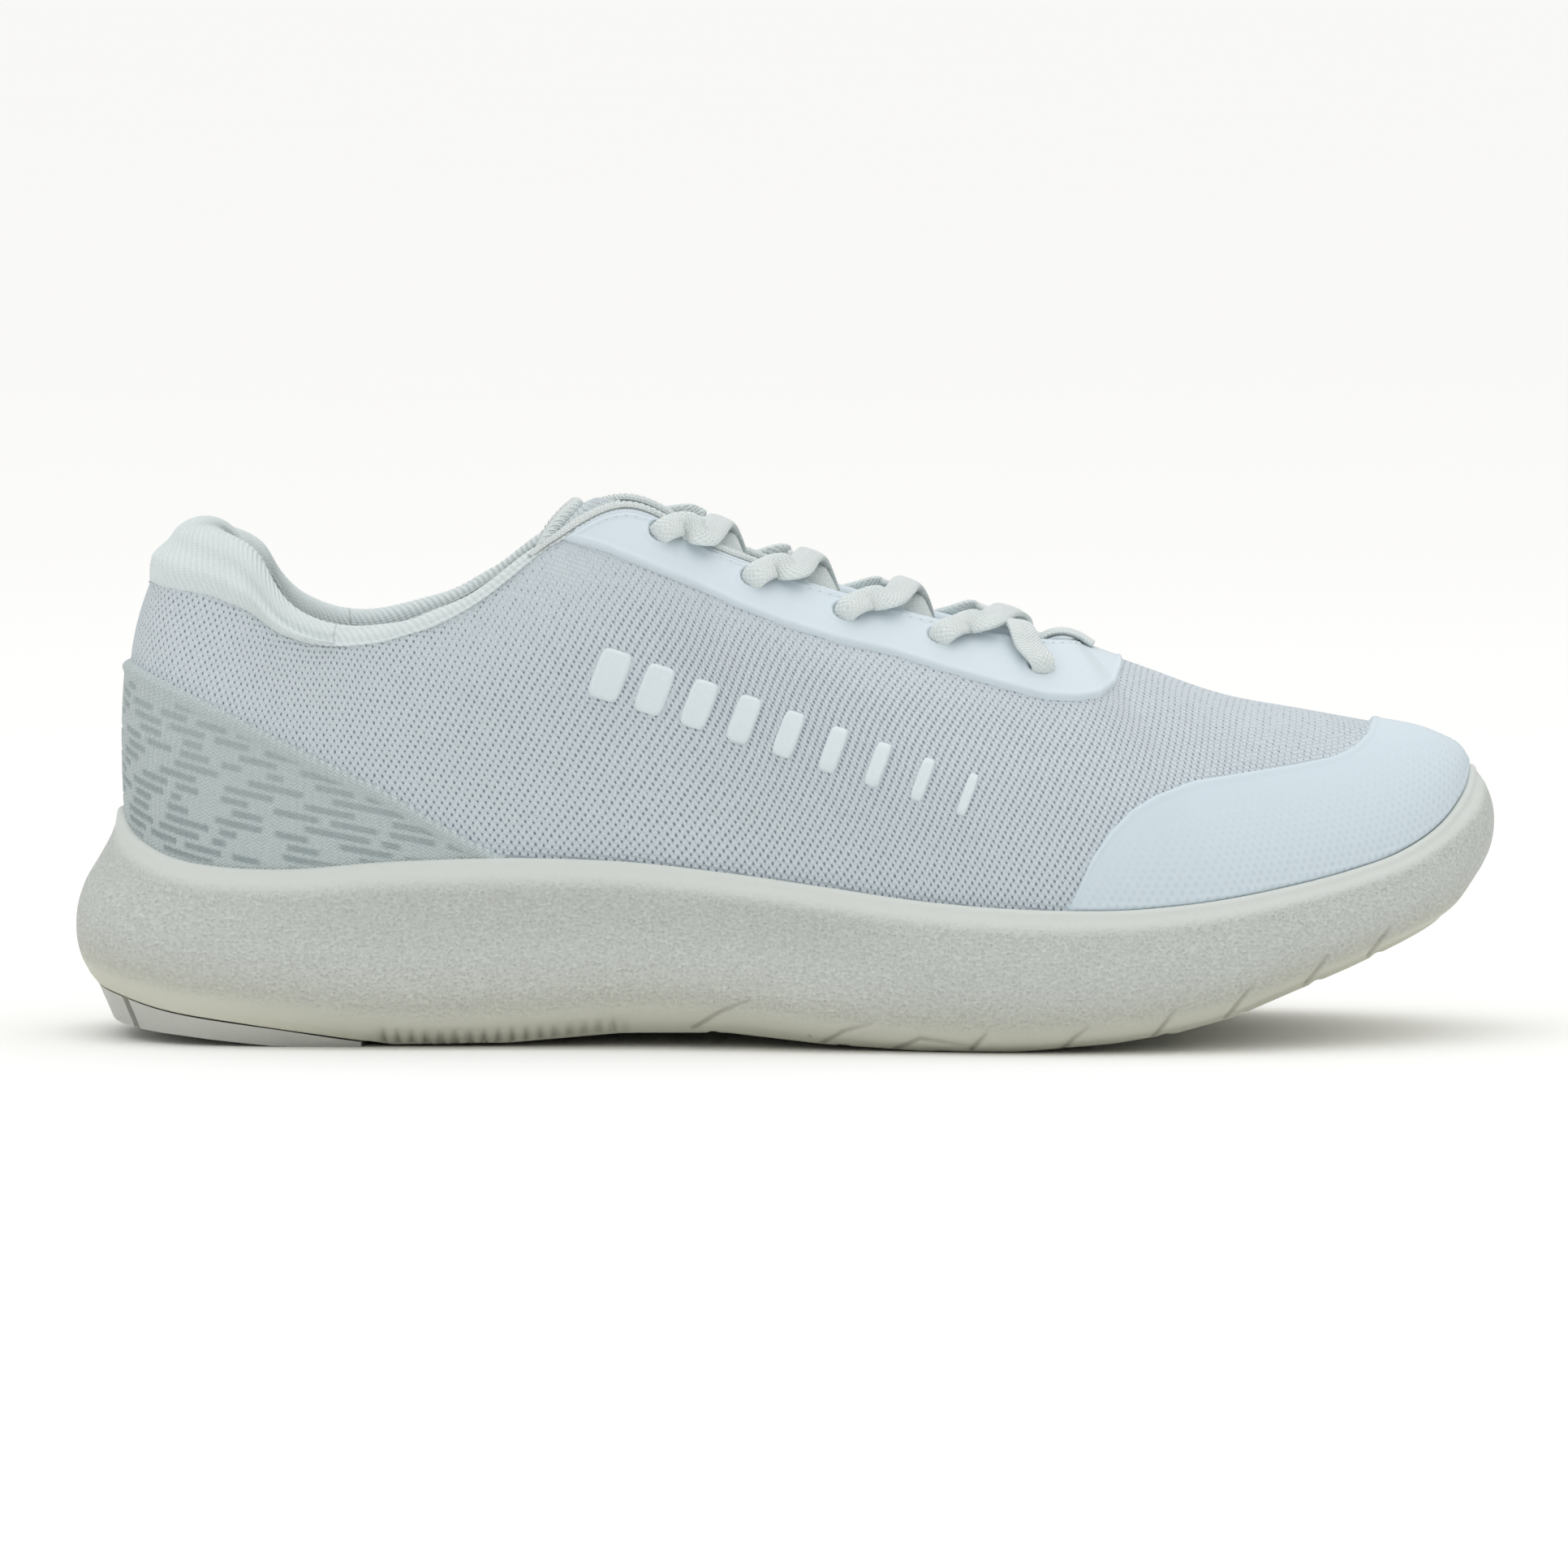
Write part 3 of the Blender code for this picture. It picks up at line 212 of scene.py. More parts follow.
def skin_grid(S, V, D=0.0):
    """Points (ns, nv, 3) for stations S and heights V, given as (nv,) or (ns, nv)."""
    S2 = np.broadcast_to(np.asarray(S, float)[:, None], (len(S), np.shape(V)[-1]))
    V2 = np.broadcast_to(V, S2.shape)
    D2 = np.broadcast_to(D, S2.shape)
    return skin(S2.ravel(), V2.ravel(), D2.ravel()).reshape(*S2.shape, 3)


def edge_z(edge, x):
    e = np.asarray(edge, float)
    return np.interp(x, e[:, 0], e[:, 1])


VS = np.linspace(0, 1, 161)


def crossing(S, edge, below=True):
    """For each station, how far up its rib the side-view edge crosses it."""
    S = np.atleast_1d(np.asarray(S, float))
    p = rib(np.repeat(S, len(VS)), np.tile(VS, len(S))).reshape(len(S), len(VS), 3)
    gap = edge_z(edge, p[:, :, 0]) - p[:, :, 2]  # positive below the edge
    inside = (gap > 0) == below
    out = np.ones(len(S))
    for i in range(len(S)):
        hit = np.flatnonzero(~inside[i]) if below else np.flatnonzero(inside[i])
        if len(hit) and hit[0] > 0:
            j = hit[0]
            g0, g1 = gap[i, j - 1], gap[i, j]
            out[i] = VS[j - 1] + (VS[j] - VS[j - 1]) * g0 / (g0 - g1)
        elif len(hit):
            out[i] = 0.0
    return out


def locate(x, z, side=-1, lo=5.0, hi=13.0):
    """Station and height on one side whose surface point is seen at x, z."""
    x, z = np.atleast_1d(np.asarray(x, float)), np.atleast_1d(np.asarray(z, float))
    gs, gv = np.linspace(lo, hi, 61), np.linspace(0.02, 0.98, 49)
    p = rib(np.repeat(gs, 49), np.tile(gv, 61))
    d = (p[:, 0][None] - x[:, None]) ** 2 + (p[:, 2][None] - z[:, None]) ** 2
    j = d.argmin(1)
    s, v = np.repeat(gs, 49)[j], np.tile(gv, 61)[j]
    for _ in range(6):
        p = rib(s, v)
        a, b = (rib(s + 0.01, v) - p) / 0.01, (rib(s, v + 0.005) - p) / 0.005
        rx, rz = x - p[:, 0], z - p[:, 2]
        det = a[:, 0] * b[:, 2] - a[:, 2] * b[:, 0]
        s = np.clip(s + (rx * b[:, 2] - rz * b[:, 0]) / det, lo - 0.5, hi + 0.5)
        v = np.clip(v + (a[:, 0] * rz - a[:, 2] * rx) / det, 0.005, 0.995)
    return (s if side < 0 else LOOP - s), v


def arc(points):
    """Running length along the first axis."""
    d = np.linalg.norm(np.diff(points, axis=0), axis=-1)
    return np.concatenate([np.zeros((1, *d.shape[1:])), np.cumsum(d, axis=0)])


KS = np.linspace(0, HALF, 381)
U_OF_K = arc(rib(KS, np.full(381, 0.35)))


def along(s):
    return np.interp(fold(s)[0], KS, U_OF_K)


# ------------------------------------------------------------------ meshes
def grid_mesh(name, P, mat, pat=None, out=None, wrap_u=False, wrap_v=False, weld=0.0, caps=False):
    """A surface through P (nu, nv, 3) in mm. out is a direction, or one for each point, that it should face."""
    nu, nv = P.shape[:2]
    idx = np.arange(nu * nv).reshape(nu, nv)
    iu, iv = np.arange(nu if wrap_u else nu - 1), np.arange(nv if wrap_v else nv - 1)
    a = idx[np.ix_(iu, iv)]
    b = idx[np.ix_((iu + 1) % nu, iv)]
    c = idx[np.ix_((iu + 1) % nu, (iv + 1) % nv)]
    d = idx[np.ix_(iu, (iv + 1) % nv)]
    faces = np.stack([a, b, c, d], -1).reshape(-1, 4)
    pts = P.reshape(-1, 3)
    if out is not None:
        out = np.broadcast_to(out, P.shape).reshape(-1, 3)
        q = pts[faces]
        fn = np.cross(q[:, 2] - q[:, 0], q[:, 3] - q[:, 1])
        if (fn * out[faces[:, 0]]).sum() < 0:
            faces = faces[:, ::-1]
    faces = faces.tolist()
    if caps:
        faces += [idx[0].tolist(), idx[-1][::-1].tolist()]
    me = bpy.data.meshes.new(name)
    me.from_pydata((pts * MM).tolist(), [], faces)
    if pat is not None:
        layer = me.attributes.new("pat", "FLOAT_VECTOR", "POINT")
        layer.data.foreach_set("vector", np.ascontiguousarray(np.broadcast_to(pat, P.shape), np.float32).ravel())
    if weld or caps or out is None:
        bm = bmesh.new()
        bm.from_mesh(me)
        if weld:
            bmesh.ops.remove_doubles(bm, verts=bm.verts, dist=weld * MM)
            bmesh.ops.dissolve_degenerate(bm, edges=bm.edges, dist=1e-6)
        if caps or out is None:
            bmesh.ops.recalc_face_normals(bm, faces=bm.faces)
        bm.to_mesh(me)
        bm.free()
    me.shade_smooth()
    o = bpy.data.objects.new(name, me)
    bpy.context.scene.collection.objects.link(o)
    if mat:
        me.materials.append(mat)
    return o


def join(name, objs):
    """One object out of several, keeping each one's materials."""
    bpy.ops.object.select_all(action="DESELECT")
    for o in objs:
        o.select_set(True)
    bpy.context.view_layer.objects.active = objs[0]
    bpy.ops.object.join()
    o = bpy.context.view_layer.objects.active
    o.name = name
    o.data.name = name
    return o


def tube_mesh(name, path, radius, mat, sides=10, twist=0.0, wobble=0.0, caps=True, normal_hint=(0, 0, 1)):
    """A round or wobbled tube along path (n, 3) in mm."""
    path = np.asarray(path, float)
    t = np.gradient(path, axis=0)
    t /= np.linalg.norm(t, axis=1, keepdims=True)
    w = np.cross(t, np.array(normal_hint, float))
    w /= np.linalg.norm(w, axis=1, keepdims=True)
    n = np.cross(w, t)
    a = np.linspace(0, 2 * np.pi, sides, endpoint=False)
    length = arc(path)
    r = np.broadcast_to(radius, (len(path),))[:, None] * (1 + wobble * np.sin(length[:, None] * twist + a[None] * 2))
    P = path[:, None] + (w[:, None] * np.cos(a)[None, :, None] + n[:, None] * np.sin(a)[None, :, None]) * r[..., None]
    pat = np.zeros((*P.shape[:2], 3))
    pat[..., 0], pat[..., 1] = length[:, None], a[None] * np.mean(r)
    return grid_mesh(name, P, mat, pat, None, wrap_v=True, caps=caps)


def resample(points, step):
    points = np.asarray(points, float)
    fine = catmull(points, np.linspace(0, len(points) - 1, 24 * len(points)))
    L = arc(fine)
    n = max(2, int(round(L[-1] / step)))
    want = np.linspace(0, L[-1], n + 1)
    return np.stack([np.interp(want, L, fine[:, i]) for i in range(fine.shape[1])], 1)


# ------------------------------------------------------------------ materials
class Look:
    """A Principled material with a small node graph. Constants sit on the shader's own sockets."""

    def __init__(self, name, rough, base=(0.8, 0.8, 0.8), **sockets):
        self.m = bpy.data.materials.new(name)
        self.m.use_nodes = True
        self.nt = self.m.node_tree
        self.bsdf = self.nt.nodes["Principled BSDF"]
        self.bsdf.inputs["Base Color"].default_value = (*base, 1)
        self.bsdf.inputs["Roughness"].default_value = rough
        for key, value in sockets.items():
            self.bsdf.inputs[key.replace("_", " ")].default_value = value
        self.x = 0

    def node(self, kind, **settings):
        n = self.nt.nodes.new(kind)
        self.x -= 60
        n.location = (self.x, -200)
        for k, v in settings.items():
            setattr(n, k, v)
        return n

    def put(self, socket, value):
        if isinstance(value, bpy.types.NodeSocket):
            self.nt.links.new(value, socket)
        else:
            socket.default_value = value

    def math(self, op, a, b=0.0, c=0.0):
        n = self.node("ShaderNodeMath", operation=op)
        for i, x in enumerate((a, b, c)):
            if i < len(n.inputs):
                self.put(n.inputs[i], x)
        return n.outputs[0]

    def pat(self):
        n = self.node("ShaderNodeAttribute", attribute_name="pat")
        s = self.node("ShaderNodeSeparateXYZ")
        self.put(s.inputs[0], n.outputs["Vector"])
        return s.outputs[0], s.outputs[1], s.outputs[2], n.outputs["Vector"]

    def vec(self, x, y, z=0.0):
        n = self.node("ShaderNodeCombineXYZ")
        for i, a in enumerate((x, y, z)):
            self.put(n.inputs[i], a)
        return n.outputs[0]

    def noise(self, vector, scale, detail=2.0, rough=0.5, distortion=0.0):
        n = self.node("ShaderNodeTexNoise")
        self.put(n.inputs["Vector"], vector)
        for k, v in (("Scale", scale), ("Detail", detail), ("Roughness", rough), ("Distortion", distortion)):
            n.inputs[k].default_value = v
        return n.outputs["Fac"]

    def voronoi(self, vector, scale, feature="F1"):
        n = self.node("ShaderNodeTexVoronoi", feature=feature)
        self.put(n.inputs["Vector"], vector)
        n.inputs["Scale"].default_value = scale
        return n.outputs["Distance"]

    def ramp(self, value, a, b, va=0.0, vb=1.0):
        n = self.node("ShaderNodeMapRange", interpolation_type="SMOOTHSTEP")
        self.put(n.inputs["Value"], value)
        for k, v in (("From Min", a), ("From Max", b), ("To Min", va), ("To Max", vb)):
            n.inputs[k].default_value = v
        return n.outputs["Result"]

    def mix(self, f, a, b):
        n = self.node("ShaderNodeMix", data_type="RGBA")
        self.put(n.inputs["Factor"], f)
        self.put(n.inputs["A"], a if isinstance(a, bpy.types.NodeSocket) else (*a, 1))
        self.put(n.inputs["B"], b if isinstance(b, bpy.types.NodeSocket) else (*b, 1))
        return n.outputs["Result"]

    def colour(self, socket):
        self.put(self.bsdf.inputs["Base Color"], socket)

    def roughness(self, socket):
        self.put(self.bsdf.inputs["Roughness"], socket)

    def bump(self, height, distance, strength=1.0):
        """height is 0 to 1, distance in metres."""
        n = self.node("ShaderNodeBump")
        n.inputs["Strength"].default_value = strength
        n.inputs["Distance"].default_value = distance
        self.put(n.inputs["Height"], height)
        previous = self.bsdf.inputs["Normal"].links
        if previous:
            self.put(n.inputs["Normal"], previous[0].from_socket)
        self.put(self.bsdf.inputs["Normal"], n.outputs[0])


TAU = 2 * math.pi


def wave(L, x, period, phase=0.0):
    return L.math("COSINE", L.math("ADD", L.math("MULTIPLY", x, TAU / period), phase))


def knit_look(name, base, dark, pitch=1.62, row=2.3, depth=0.00030, hole=0.55):
    """Engineered knit: staggered small holes between looped yarns, painted dark as the shade inside them, with painted
    shade in the low rows between yarns. pat is mm along, mm up, and how open it is.
    """
    L = Look(name, 0.82, base, Sheen_Weight=0.25, Sheen_Roughness=0.5, Specular_IOR_Level=0.25)
    u, v, open_, vec = L.pat()
    drift = L.math("MULTIPLY", L.math("SUBTRACT", L.noise(vec, 0.055, 3.0), 0.5), 1.6)
    v2 = L.math("ADD", L.math("ADD", v, L.math("MULTIPLY", u, 0.115)), drift)
    a, b = wave(L, u, pitch), wave(L, v2, row)
    lattice = L.math("MULTIPLY", a, b)
    jitter = L.math("MULTIPLY", L.math("SUBTRACT", L.noise(vec, 0.9, 1.0), 0.5), 0.7)
    hole_in = L.ramp(L.math("ADD", L.math("ADD", lattice, jitter), open_), hole, hole + 0.42)
    loops = wave(L, L.math("ADD", u, L.math("MULTIPLY", v2, 0.35)), pitch / 2)
    ribs = wave(L, v2, row / 2, 1.2)
    body = L.math("MULTIPLY_ADD", ribs, 0.30, L.math("MULTIPLY", loops, 0.16))
    fuzz = L.noise(vec, 3.5, 3.0, 0.7)
    height = L.math("ADD", L.math("ADD", L.math("MULTIPLY", hole_in, -0.85), body), L.math("MULTIPLY", fuzz, 0.35))
    L.bump(height, depth)
    tone = L.mix(L.math("MULTIPLY", fuzz, 0.5), base, tuple(c * 0.93 for c in base))
    tone = L.mix(L.ramp(L.noise(vec, 0.035, 2.0), 0.45, 0.75, 0.0, 0.35), tone, (base[0] * 0.97, base[1] * 0.965, base[2] * 0.95))
    # painted shade: darker where the yarn relief is low, between rows and loops
    tone = L.mix(L.ramp(body, -0.42, 0.25, 0.42, 0.0), tone, tuple(c * 0.80 for c in base))
    # painted shade: the holes take the dark colour, standing in for the shade inside them
    L.colour(L.mix(L.math("MULTIPLY", hole_in, 0.84), tone, dark))
    return L.m


def rib_look(name, base, pitch=1.5, slant=0.6, depth=0.00022, sheen=0.4):
    """Fine diagonal rib, as on collar and lining fabric, with painted shade in its grooves."""
    L = Look(name, 0.86, base, Sheen_Weight=sheen, Sheen_Roughness=0.45, Specular_IOR_Level=0.2)
    u, v, _, vec = L.pat()
    warp = L.math("MULTIPLY", L.math("SUBTRACT", L.noise(vec, 0.08, 2.0), 0.5), 1.2)
    line = L.math("ADD", L.math("ADD", u, L.math("MULTIPLY", v, slant)), warp)
    ribs = wave(L, line, pitch)
    stitch = wave(L, L.math("SUBTRACT", v, L.math("MULTIPLY", u, 0.2)), 0.62)
    fuzz = L.noise(vec, 4.0, 3.0, 0.7)
    height = L.math("ADD", L.math("MULTIPLY_ADD", ribs, 0.5, L.math("MULTIPLY", stitch, 0.14)), L.math("MULTIPLY", fuzz, 0.4))
    L.bump(height, depth)
    # painted shade: darker in the rib's grooves
    groove_shade = L.ramp(ribs, -1.0, 0.1, 0.30, 0.0)
    L.colour(L.mix(groove_shade, base, tuple(c * 0.80 for c in base)))
    return L.m


def film_look(name, base, faint=0.0, rough=0.42):
    """Bonded film: smooth, with a faint print of the knit under it."""
    L = Look(name, rough, base, Specular_IOR_Level=0.38, Sheen_Weight=0.05)
    u, v, edge, vec = L.pat()
    soft = L.noise(vec, 0.6, 3.0, 0.55)
    fine = L.noise(vec, 5.0, 2.0, 0.6)
    lattice = L.math("MULTIPLY", wave(L, u, 1.9), wave(L, L.math("ADD", v, L.math("MULTIPLY", u, 0.1)), 3.0))
    print_ = L.math("MULTIPLY", L.ramp(lattice, 0.1, 0.9), L.math("MULTIPLY", edge, faint))
    L.bump(L.math("ADD", L.math("MULTIPLY", soft, 0.35), L.math("MULTIPLY_ADD", fine, 0.12, L.math("MULTIPLY", print_, -0.9))), 0.00012)
    tone = L.mix(L.ramp(soft, 0.35, 0.7, 0.0, 0.25), base, tuple(c * 0.96 for c in base))
    L.colour(L.mix(L.math("MULTIPLY", print_, 0.22), tone, tuple(c * 0.70 for c in base)))
    L.roughness(L.ramp(fine, 0.2, 0.8, rough - 0.06, rough + 0.08))
    return L.m


def foam_look():
    """Moulded foam: leathery wrinkles over the middle of the wall, smooth at the lip, with painted shade in the
    wrinkles' hollows and in the sipes and heel teeth; specks and faint scuffs.
    """
    base = (0.655, 0.690, 0.660)
    L = Look("foam_look", 0.55, base, Specular_IOR_Level=0.33, Subsurface_Weight=0.0)
    u, z, f, vec = L.pat()
    # painted shade for the sipes and the teeth along the heel's bottom
    recess_shade_fac = L.node("ShaderNodeAttribute", attribute_name="recess_shade").outputs["Fac"]
    stretched = L.vec(L.math("MULTIPLY", u, 0.8), z, 0.0)
    band = L.math("MULTIPLY", L.ramp(f, 0.10, 0.24), L.ramp(f, 0.97, 0.84))
    cells = L.voronoi(L.vec(u, L.math("MULTIPLY", z, 1.15), L.noise(stretched, 0.25, 2.0)), 1.15, "SMOOTH_F1")
    creases = L.noise(stretched, 1.6, 4.0, 0.62, 0.8)
    grain = L.math("MULTIPLY", L.math("ADD", L.math("MULTIPLY", cells, 0.75), L.math("MULTIPLY", creases, 0.55)), band)
    smooth_ = L.math("MULTIPLY", L.noise(vec, 0.18, 2.0), 0.5)
    L.bump(L.math("ADD", grain, smooth_), 0.00075)
    speck = L.ramp(L.voronoi(L.vec(u, z, 3.0), 0.085), 0.055, 0.030)
    scuff = L.math("MULTIPLY", L.ramp(L.noise(stretched, 0.10, 5.0, 0.7), 0.60, 0.72), 0.22)
    low = L.ramp(f, 0.55, 0.02, 0.0, 0.85)
    tone = L.mix(low, base, (0.585, 0.585, 0.480))
    tone = L.mix(scuff, tone, (0.56, 0.56, 0.52))
    # painted shade: darker in the low hollows of the wrinkle cells and creases
    tone = L.mix(L.math("MULTIPLY", L.ramp(cells, 0.75, 0.25, 0.0, 0.22), band), tone, (0.42, 0.43, 0.40))
    tone = L.mix(L.math("MULTIPLY", L.ramp(creases, 0.58, 0.40, 0.0, 0.30), band), tone, (0.40, 0.41, 0.375))
    # painted shade: darker in the sipes and the heel's teeth
    tone = L.mix(L.ramp(recess_shade_fac, 0.0, 1.0, 0.0, 0.55), tone, (0.30, 0.29, 0.25))
    L.colour(L.mix(L.math("MULTIPLY", speck, 0.42), tone, (0.26, 0.25, 0.26)))
    L.roughness(L.ramp(L.noise(vec, 0.8, 3.0), 0.3, 0.7, 0.48, 0.62))
    return L.m


def rubber_look(name="rubber_look", base=(0.540, 0.550, 0.510)):
    L = Look(name, 0.5, base, Specular_IOR_Level=0.4)
    c = L.node("ShaderNodeTexCoord").outputs["Object"]
    grit = L.noise(c, 900, 3.0, 0.6)
    worn = L.noise(c, 60, 4.0, 0.6)
    L.bump(L.math("ADD", L.math("MULTIPLY", grit, 0.5), worn), 0.00012)
    L.colour(L.mix(L.ramp(worn, 0.45, 0.7, 0.0, 0.5), base, tuple(x * 0.88 for x in base)))
    L.roughness(L.ramp(grit, 0.2, 0.8, 0.42, 0.6))
    return L.m


def plain_look(name, base, rough, scale=700, depth=0.0001, dark=0.9, **sockets):
    """For what is hidden inside: a fine fibrous or moulded grain."""
    L = Look(name, rough, base, **sockets)
    c = L.node("ShaderNodeTexCoord").outputs["Object"]
    g = L.noise(c, scale, 3.0, 0.65)
    L.bump(g, depth)
    L.colour(L.mix(L.ramp(g, 0.3, 0.75), base, tuple(x * dark for x in base)))
    return L.m


def lace_look():
    """Flat woven lace: a herringbone of fine yarns, and rolled edges."""
    base = (0.800, 0.865, 0.855)
    L = Look("lace_look", 0.78, base, Sheen_Weight=0.3, Sheen_Roughness=0.5, Specular_IOR_Level=0.25)
    u, w, _, vec = L.pat()
    chevron = L.math("ABSOLUTE", w)
    weave = wave(L, L.math("ADD", u, L.math("MULTIPLY", chevron, 0.75)), 0.80)
    rows = wave(L, w, 0.55)
    fuzz = L.noise(vec, 4.5, 3.0, 0.7)
    height = L.math("ADD", L.math("MULTIPLY_ADD", weave, 0.45, L.math("MULTIPLY", rows, 0.2)), L.math("MULTIPLY", fuzz, 0.5))
    L.bump(height, 0.00020)
    shade = L.ramp(weave, -1.0, 0.2, 0.32, 0.0)
    L.colour(L.mix(shade, base, tuple(x * 0.82 for x in base)))
    return L.m


def jacquard_look():
    """Heel knit: fine zigzag yarn with painted shade in the low parts between yarns; z of pat is how deep a dash is
    recessed.
    """
    base = (0.725, 0.825, 0.825)
    L = Look("jacquard_look", 0.84, base, Sheen_Weight=0.3, Sheen_Roughness=0.5, Specular_IOR_Level=0.2)
    u, v, dash, vec = L.pat()
    zig = L.math("PINGPONG", u, 0.8)
    yarn = wave(L, L.math("ADD", v, L.math("MULTIPLY", zig, 0.9)), 0.78)
    fuzz = L.noise(vec, 4.0, 3.0, 0.7)
    L.bump(L.math("ADD", L.math("MULTIPLY", yarn, 0.5), L.math("MULTIPLY", fuzz, 0.45)), 0.00038)
    # painted shade: darker where the yarn relief is low
    tone = L.mix(L.ramp(yarn, -1, 0.4, 0.55, 0.0), base, tuple(c * 0.72 for c in base))
    L.colour(L.mix(L.math("MULTIPLY", dash, 0.72), tone, (0.330, 0.415, 0.425)))
    return L.m


KNIT = knit_look("knit_look", (0.700, 0.775, 0.820), (0.17, 0.22, 0.30), depth=0.00038)
TONGUE_KNIT = knit_look("tongue_knit_look", (0.680, 0.755, 0.780), (0.34, 0.40, 0.45), 1.3, 1.9)
RIB = rib_look("collar_rib_look", (0.745, 0.815, 0.815))
LINING = rib_look("lining_rib_look", (0.720, 0.770, 0.765), 1.1, 0.9, 0.00015)
FILM = film_look("film_look", (0.655, 0.745, 0.795))
TOE_FILM = film_look("toe_film_look", (0.625, 0.720, 0.775), 1.0)
FOAM = foam_look()
RUBBER = rubber_look()
LACE = lace_look()
JACQUARD = jacquard_look()
PADDING = plain_look("padding_look", (0.72, 0.72, 0.66), 0.95, 1400, 0.0002)
BOARD = plain_look("board_look", (0.64, 0.62, 0.57), 0.9, 1100, 0.0002)
STIFF = plain_look("stiffener_look", (0.60, 0.60, 0.60), 0.6, 500)
TIP = plain_look("lace_tip_look", (0.74, 0.79, 0.80), 0.22, 300, 0.00003, 0.96, Coat_Weight=0.5)
THREAD = plain_look("thread_look", (0.66, 0.72, 0.74), 0.7, 2500, 0.00008, 0.85)
# painted shade: the near-black colour of the discs behind the eyelets
EYELET_SHADE = plain_look("eyelet_shade_look", (0.10, 0.105, 0.12), 0.9, 800)
TRANSFER = Look("transfer_look", 0.28, (0.700, 0.770, 0.795), Specular_IOR_Level=0.5, Coat_Weight=0.25, Coat_Roughness=0.2)
_u, _v, _e, _vec = TRANSFER.pat()
_t = TRANSFER.noise(_vec, 0.9, 3.0)
TRANSFER.bump(_t, 0.00006)
TRANSFER.colour(TRANSFER.mix(TRANSFER.ramp(_t, 0.35, 0.7, 0.0, 0.4), (0.700, 0.770, 0.795), (0.655, 0.725, 0.75)))
TRANSFER = TRANSFER.m

FINE = 0.05


def across_flex(o, slot, *nodes):
    """A piece that reaches from behind the ball of the foot to the toe in front of it: bakes its transform into its
    mesh and hides the CAD parts it replaces.
    """
    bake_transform(o)
    if nodes:
        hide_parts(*nodes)
    return o


def on(o, body, slot, *nodes):
    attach(o, body)
    if nodes:
        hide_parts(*nodes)
    return o


# ------------------------------------------------------------------ midsole
SIPES = [
    [(-19, 4.6), (-13.5, 8.4), (-7.5, 11)], [(7.5, 1.4), (12, 4.6), (17.7, 6.4)],
    [(22.6, 0.4), (28, 3.3), (38.4, 1.7)], [(38.7, 0.8), (42, 5)], [(57.5, 0.6), (60, 3.6), (63, 6.1)],
    [(76.5, 3), (79, 6.6), (81.2, 9.7)], [(92, 7.2), (94.8, 11), (97.3, 14.2)], [(109, 13.8), (111.3, 17), (113.3, 19.7)],
    [(122.5, 19.4), (124.7, 22.6), (126.6, 25)],
]


def to_line(x, z, line_):
    """Distance in side view to a run of short lines, and how far along it the nearest point is."""
    best, where = np.full(x.shape, 1e9), np.zeros(x.shape)
    m = len(line_) - 1
    for i, ((ax, az), (bx, bz)) in enumerate(zip(line_, line_[1:])):
        dx, dz = bx - ax, bz - az
        t = np.clip(((x - ax) * dx + (z - az) * dz) / (dx * dx + dz * dz), 0, 1)
        d = np.hypot(x - ax - t * dx, z - az - t * dz)
        where = np.where(d < best, (i + t) / m, where)
        best = np.minimum(best, d)
    return best, where


def under_at(x):
    return np.interp(x, [o[0] for o in LATERAL], UNDER)


def floor_at(x):
    return np.interp(x, [o[0] for o in LATERAL], FLOOR)


S = np.arange(0, LOOP, 0.04)
O, N = outline(S), outward(S)
K = fold(S)[0]
rows_wall = half(WALL, K)
low = half(UNDER, K)[:, 0]
f_rows = np.concatenate([np.linspace(0, 0.2, 14), np.linspace(0.2, 0.9, 34)[1:], np.linspace(0.9, 1, 5)[1:]])
layers, fs, recess_shades = [], [], []
for f in f_rows:
    index = np.interp(f, RISE, range(9))
    off = catmull(rows_wall.T, index)[0]
    top = O[:, 2] - 1.3
    p = O + N * off[:, None]
    p[:, 2] = low + (top - low) * f
    if f < 0.6:
        depth = np.zeros(len(S))
        for sipe in SIPES:
            d, t = to_line(p[:, 0], p[:, 2], sipe)
            depth = np.maximum(depth, np.clip(1 - d / 0.70, 0, 1) ** 0.7 * (1.15 - 0.80 * t))
        p -= N * depth[:, None]
        # how much painted shade the sipe gets in the foam's colour
        recess_shade = np.clip(depth * 1.4, 0, 1)
    else:
        recess_shade = np.zeros(len(S))
    if f < 0.11:
        in_run = np.clip(np.minimum(p[:, 0] + 87, -32 - p[:, 0]) / 2, 0, 1)
        teeth = (0.5 + 0.5 * np.cos(p[:, 0] * TAU / 3.0)) * 1.5 * np.clip(1 - f / 0.1, 0, 1) ** 0.5 * in_run
        p -= N * teeth[:, None]
        p[:, 2] += teeth * 0.5
        recess_shade = np.maximum(recess_shade, teeth * 0.4)
    layers.append(p)
    fs.append(np.full(len(S), f))
    recess_shades.append(recess_shade)
for i in range(1, 10):  # the rounded lip
    a = math.pi * i / 9
    p = O - N * (1.2 - 1.2 * math.cos(a))
    p[:, 2] = O[:, 2] - 1.3 + 1.3 * math.sin(a)
    layers.append(p)
    fs.append(np.full(len(S), 1.0))
    recess_shades.append(np.zeros(len(S)))
for inset, lift in ((2.4, None), (14, None)):
    p = O - N * inset
    p[:, 2] = floor_at(p[:, 0])
    layers.append(p)
    fs.append(np.full(len(S), 1.0))
    recess_shades.append(np.zeros(len(S)))
# The underside, with a rounded corner to the wall and flex grooves across the forefoot.
GROOVES = [-15, 12, 33, 60, 79, 95, 111, 124]


def underside(inset, lift):
    foot = O + N * (rows_wall[:, 0] - inset)[:, None]
    foot[:, 2] = under_at(foot[:, 0]) + lift
    for g in GROOVES:
        foot[:, 2] += 1.6 * np.clip(1 - np.abs(foot[:, 0] - g) / 1.3, 0, 1) ** 0.6 * min(1, inset / 3)
    return foot


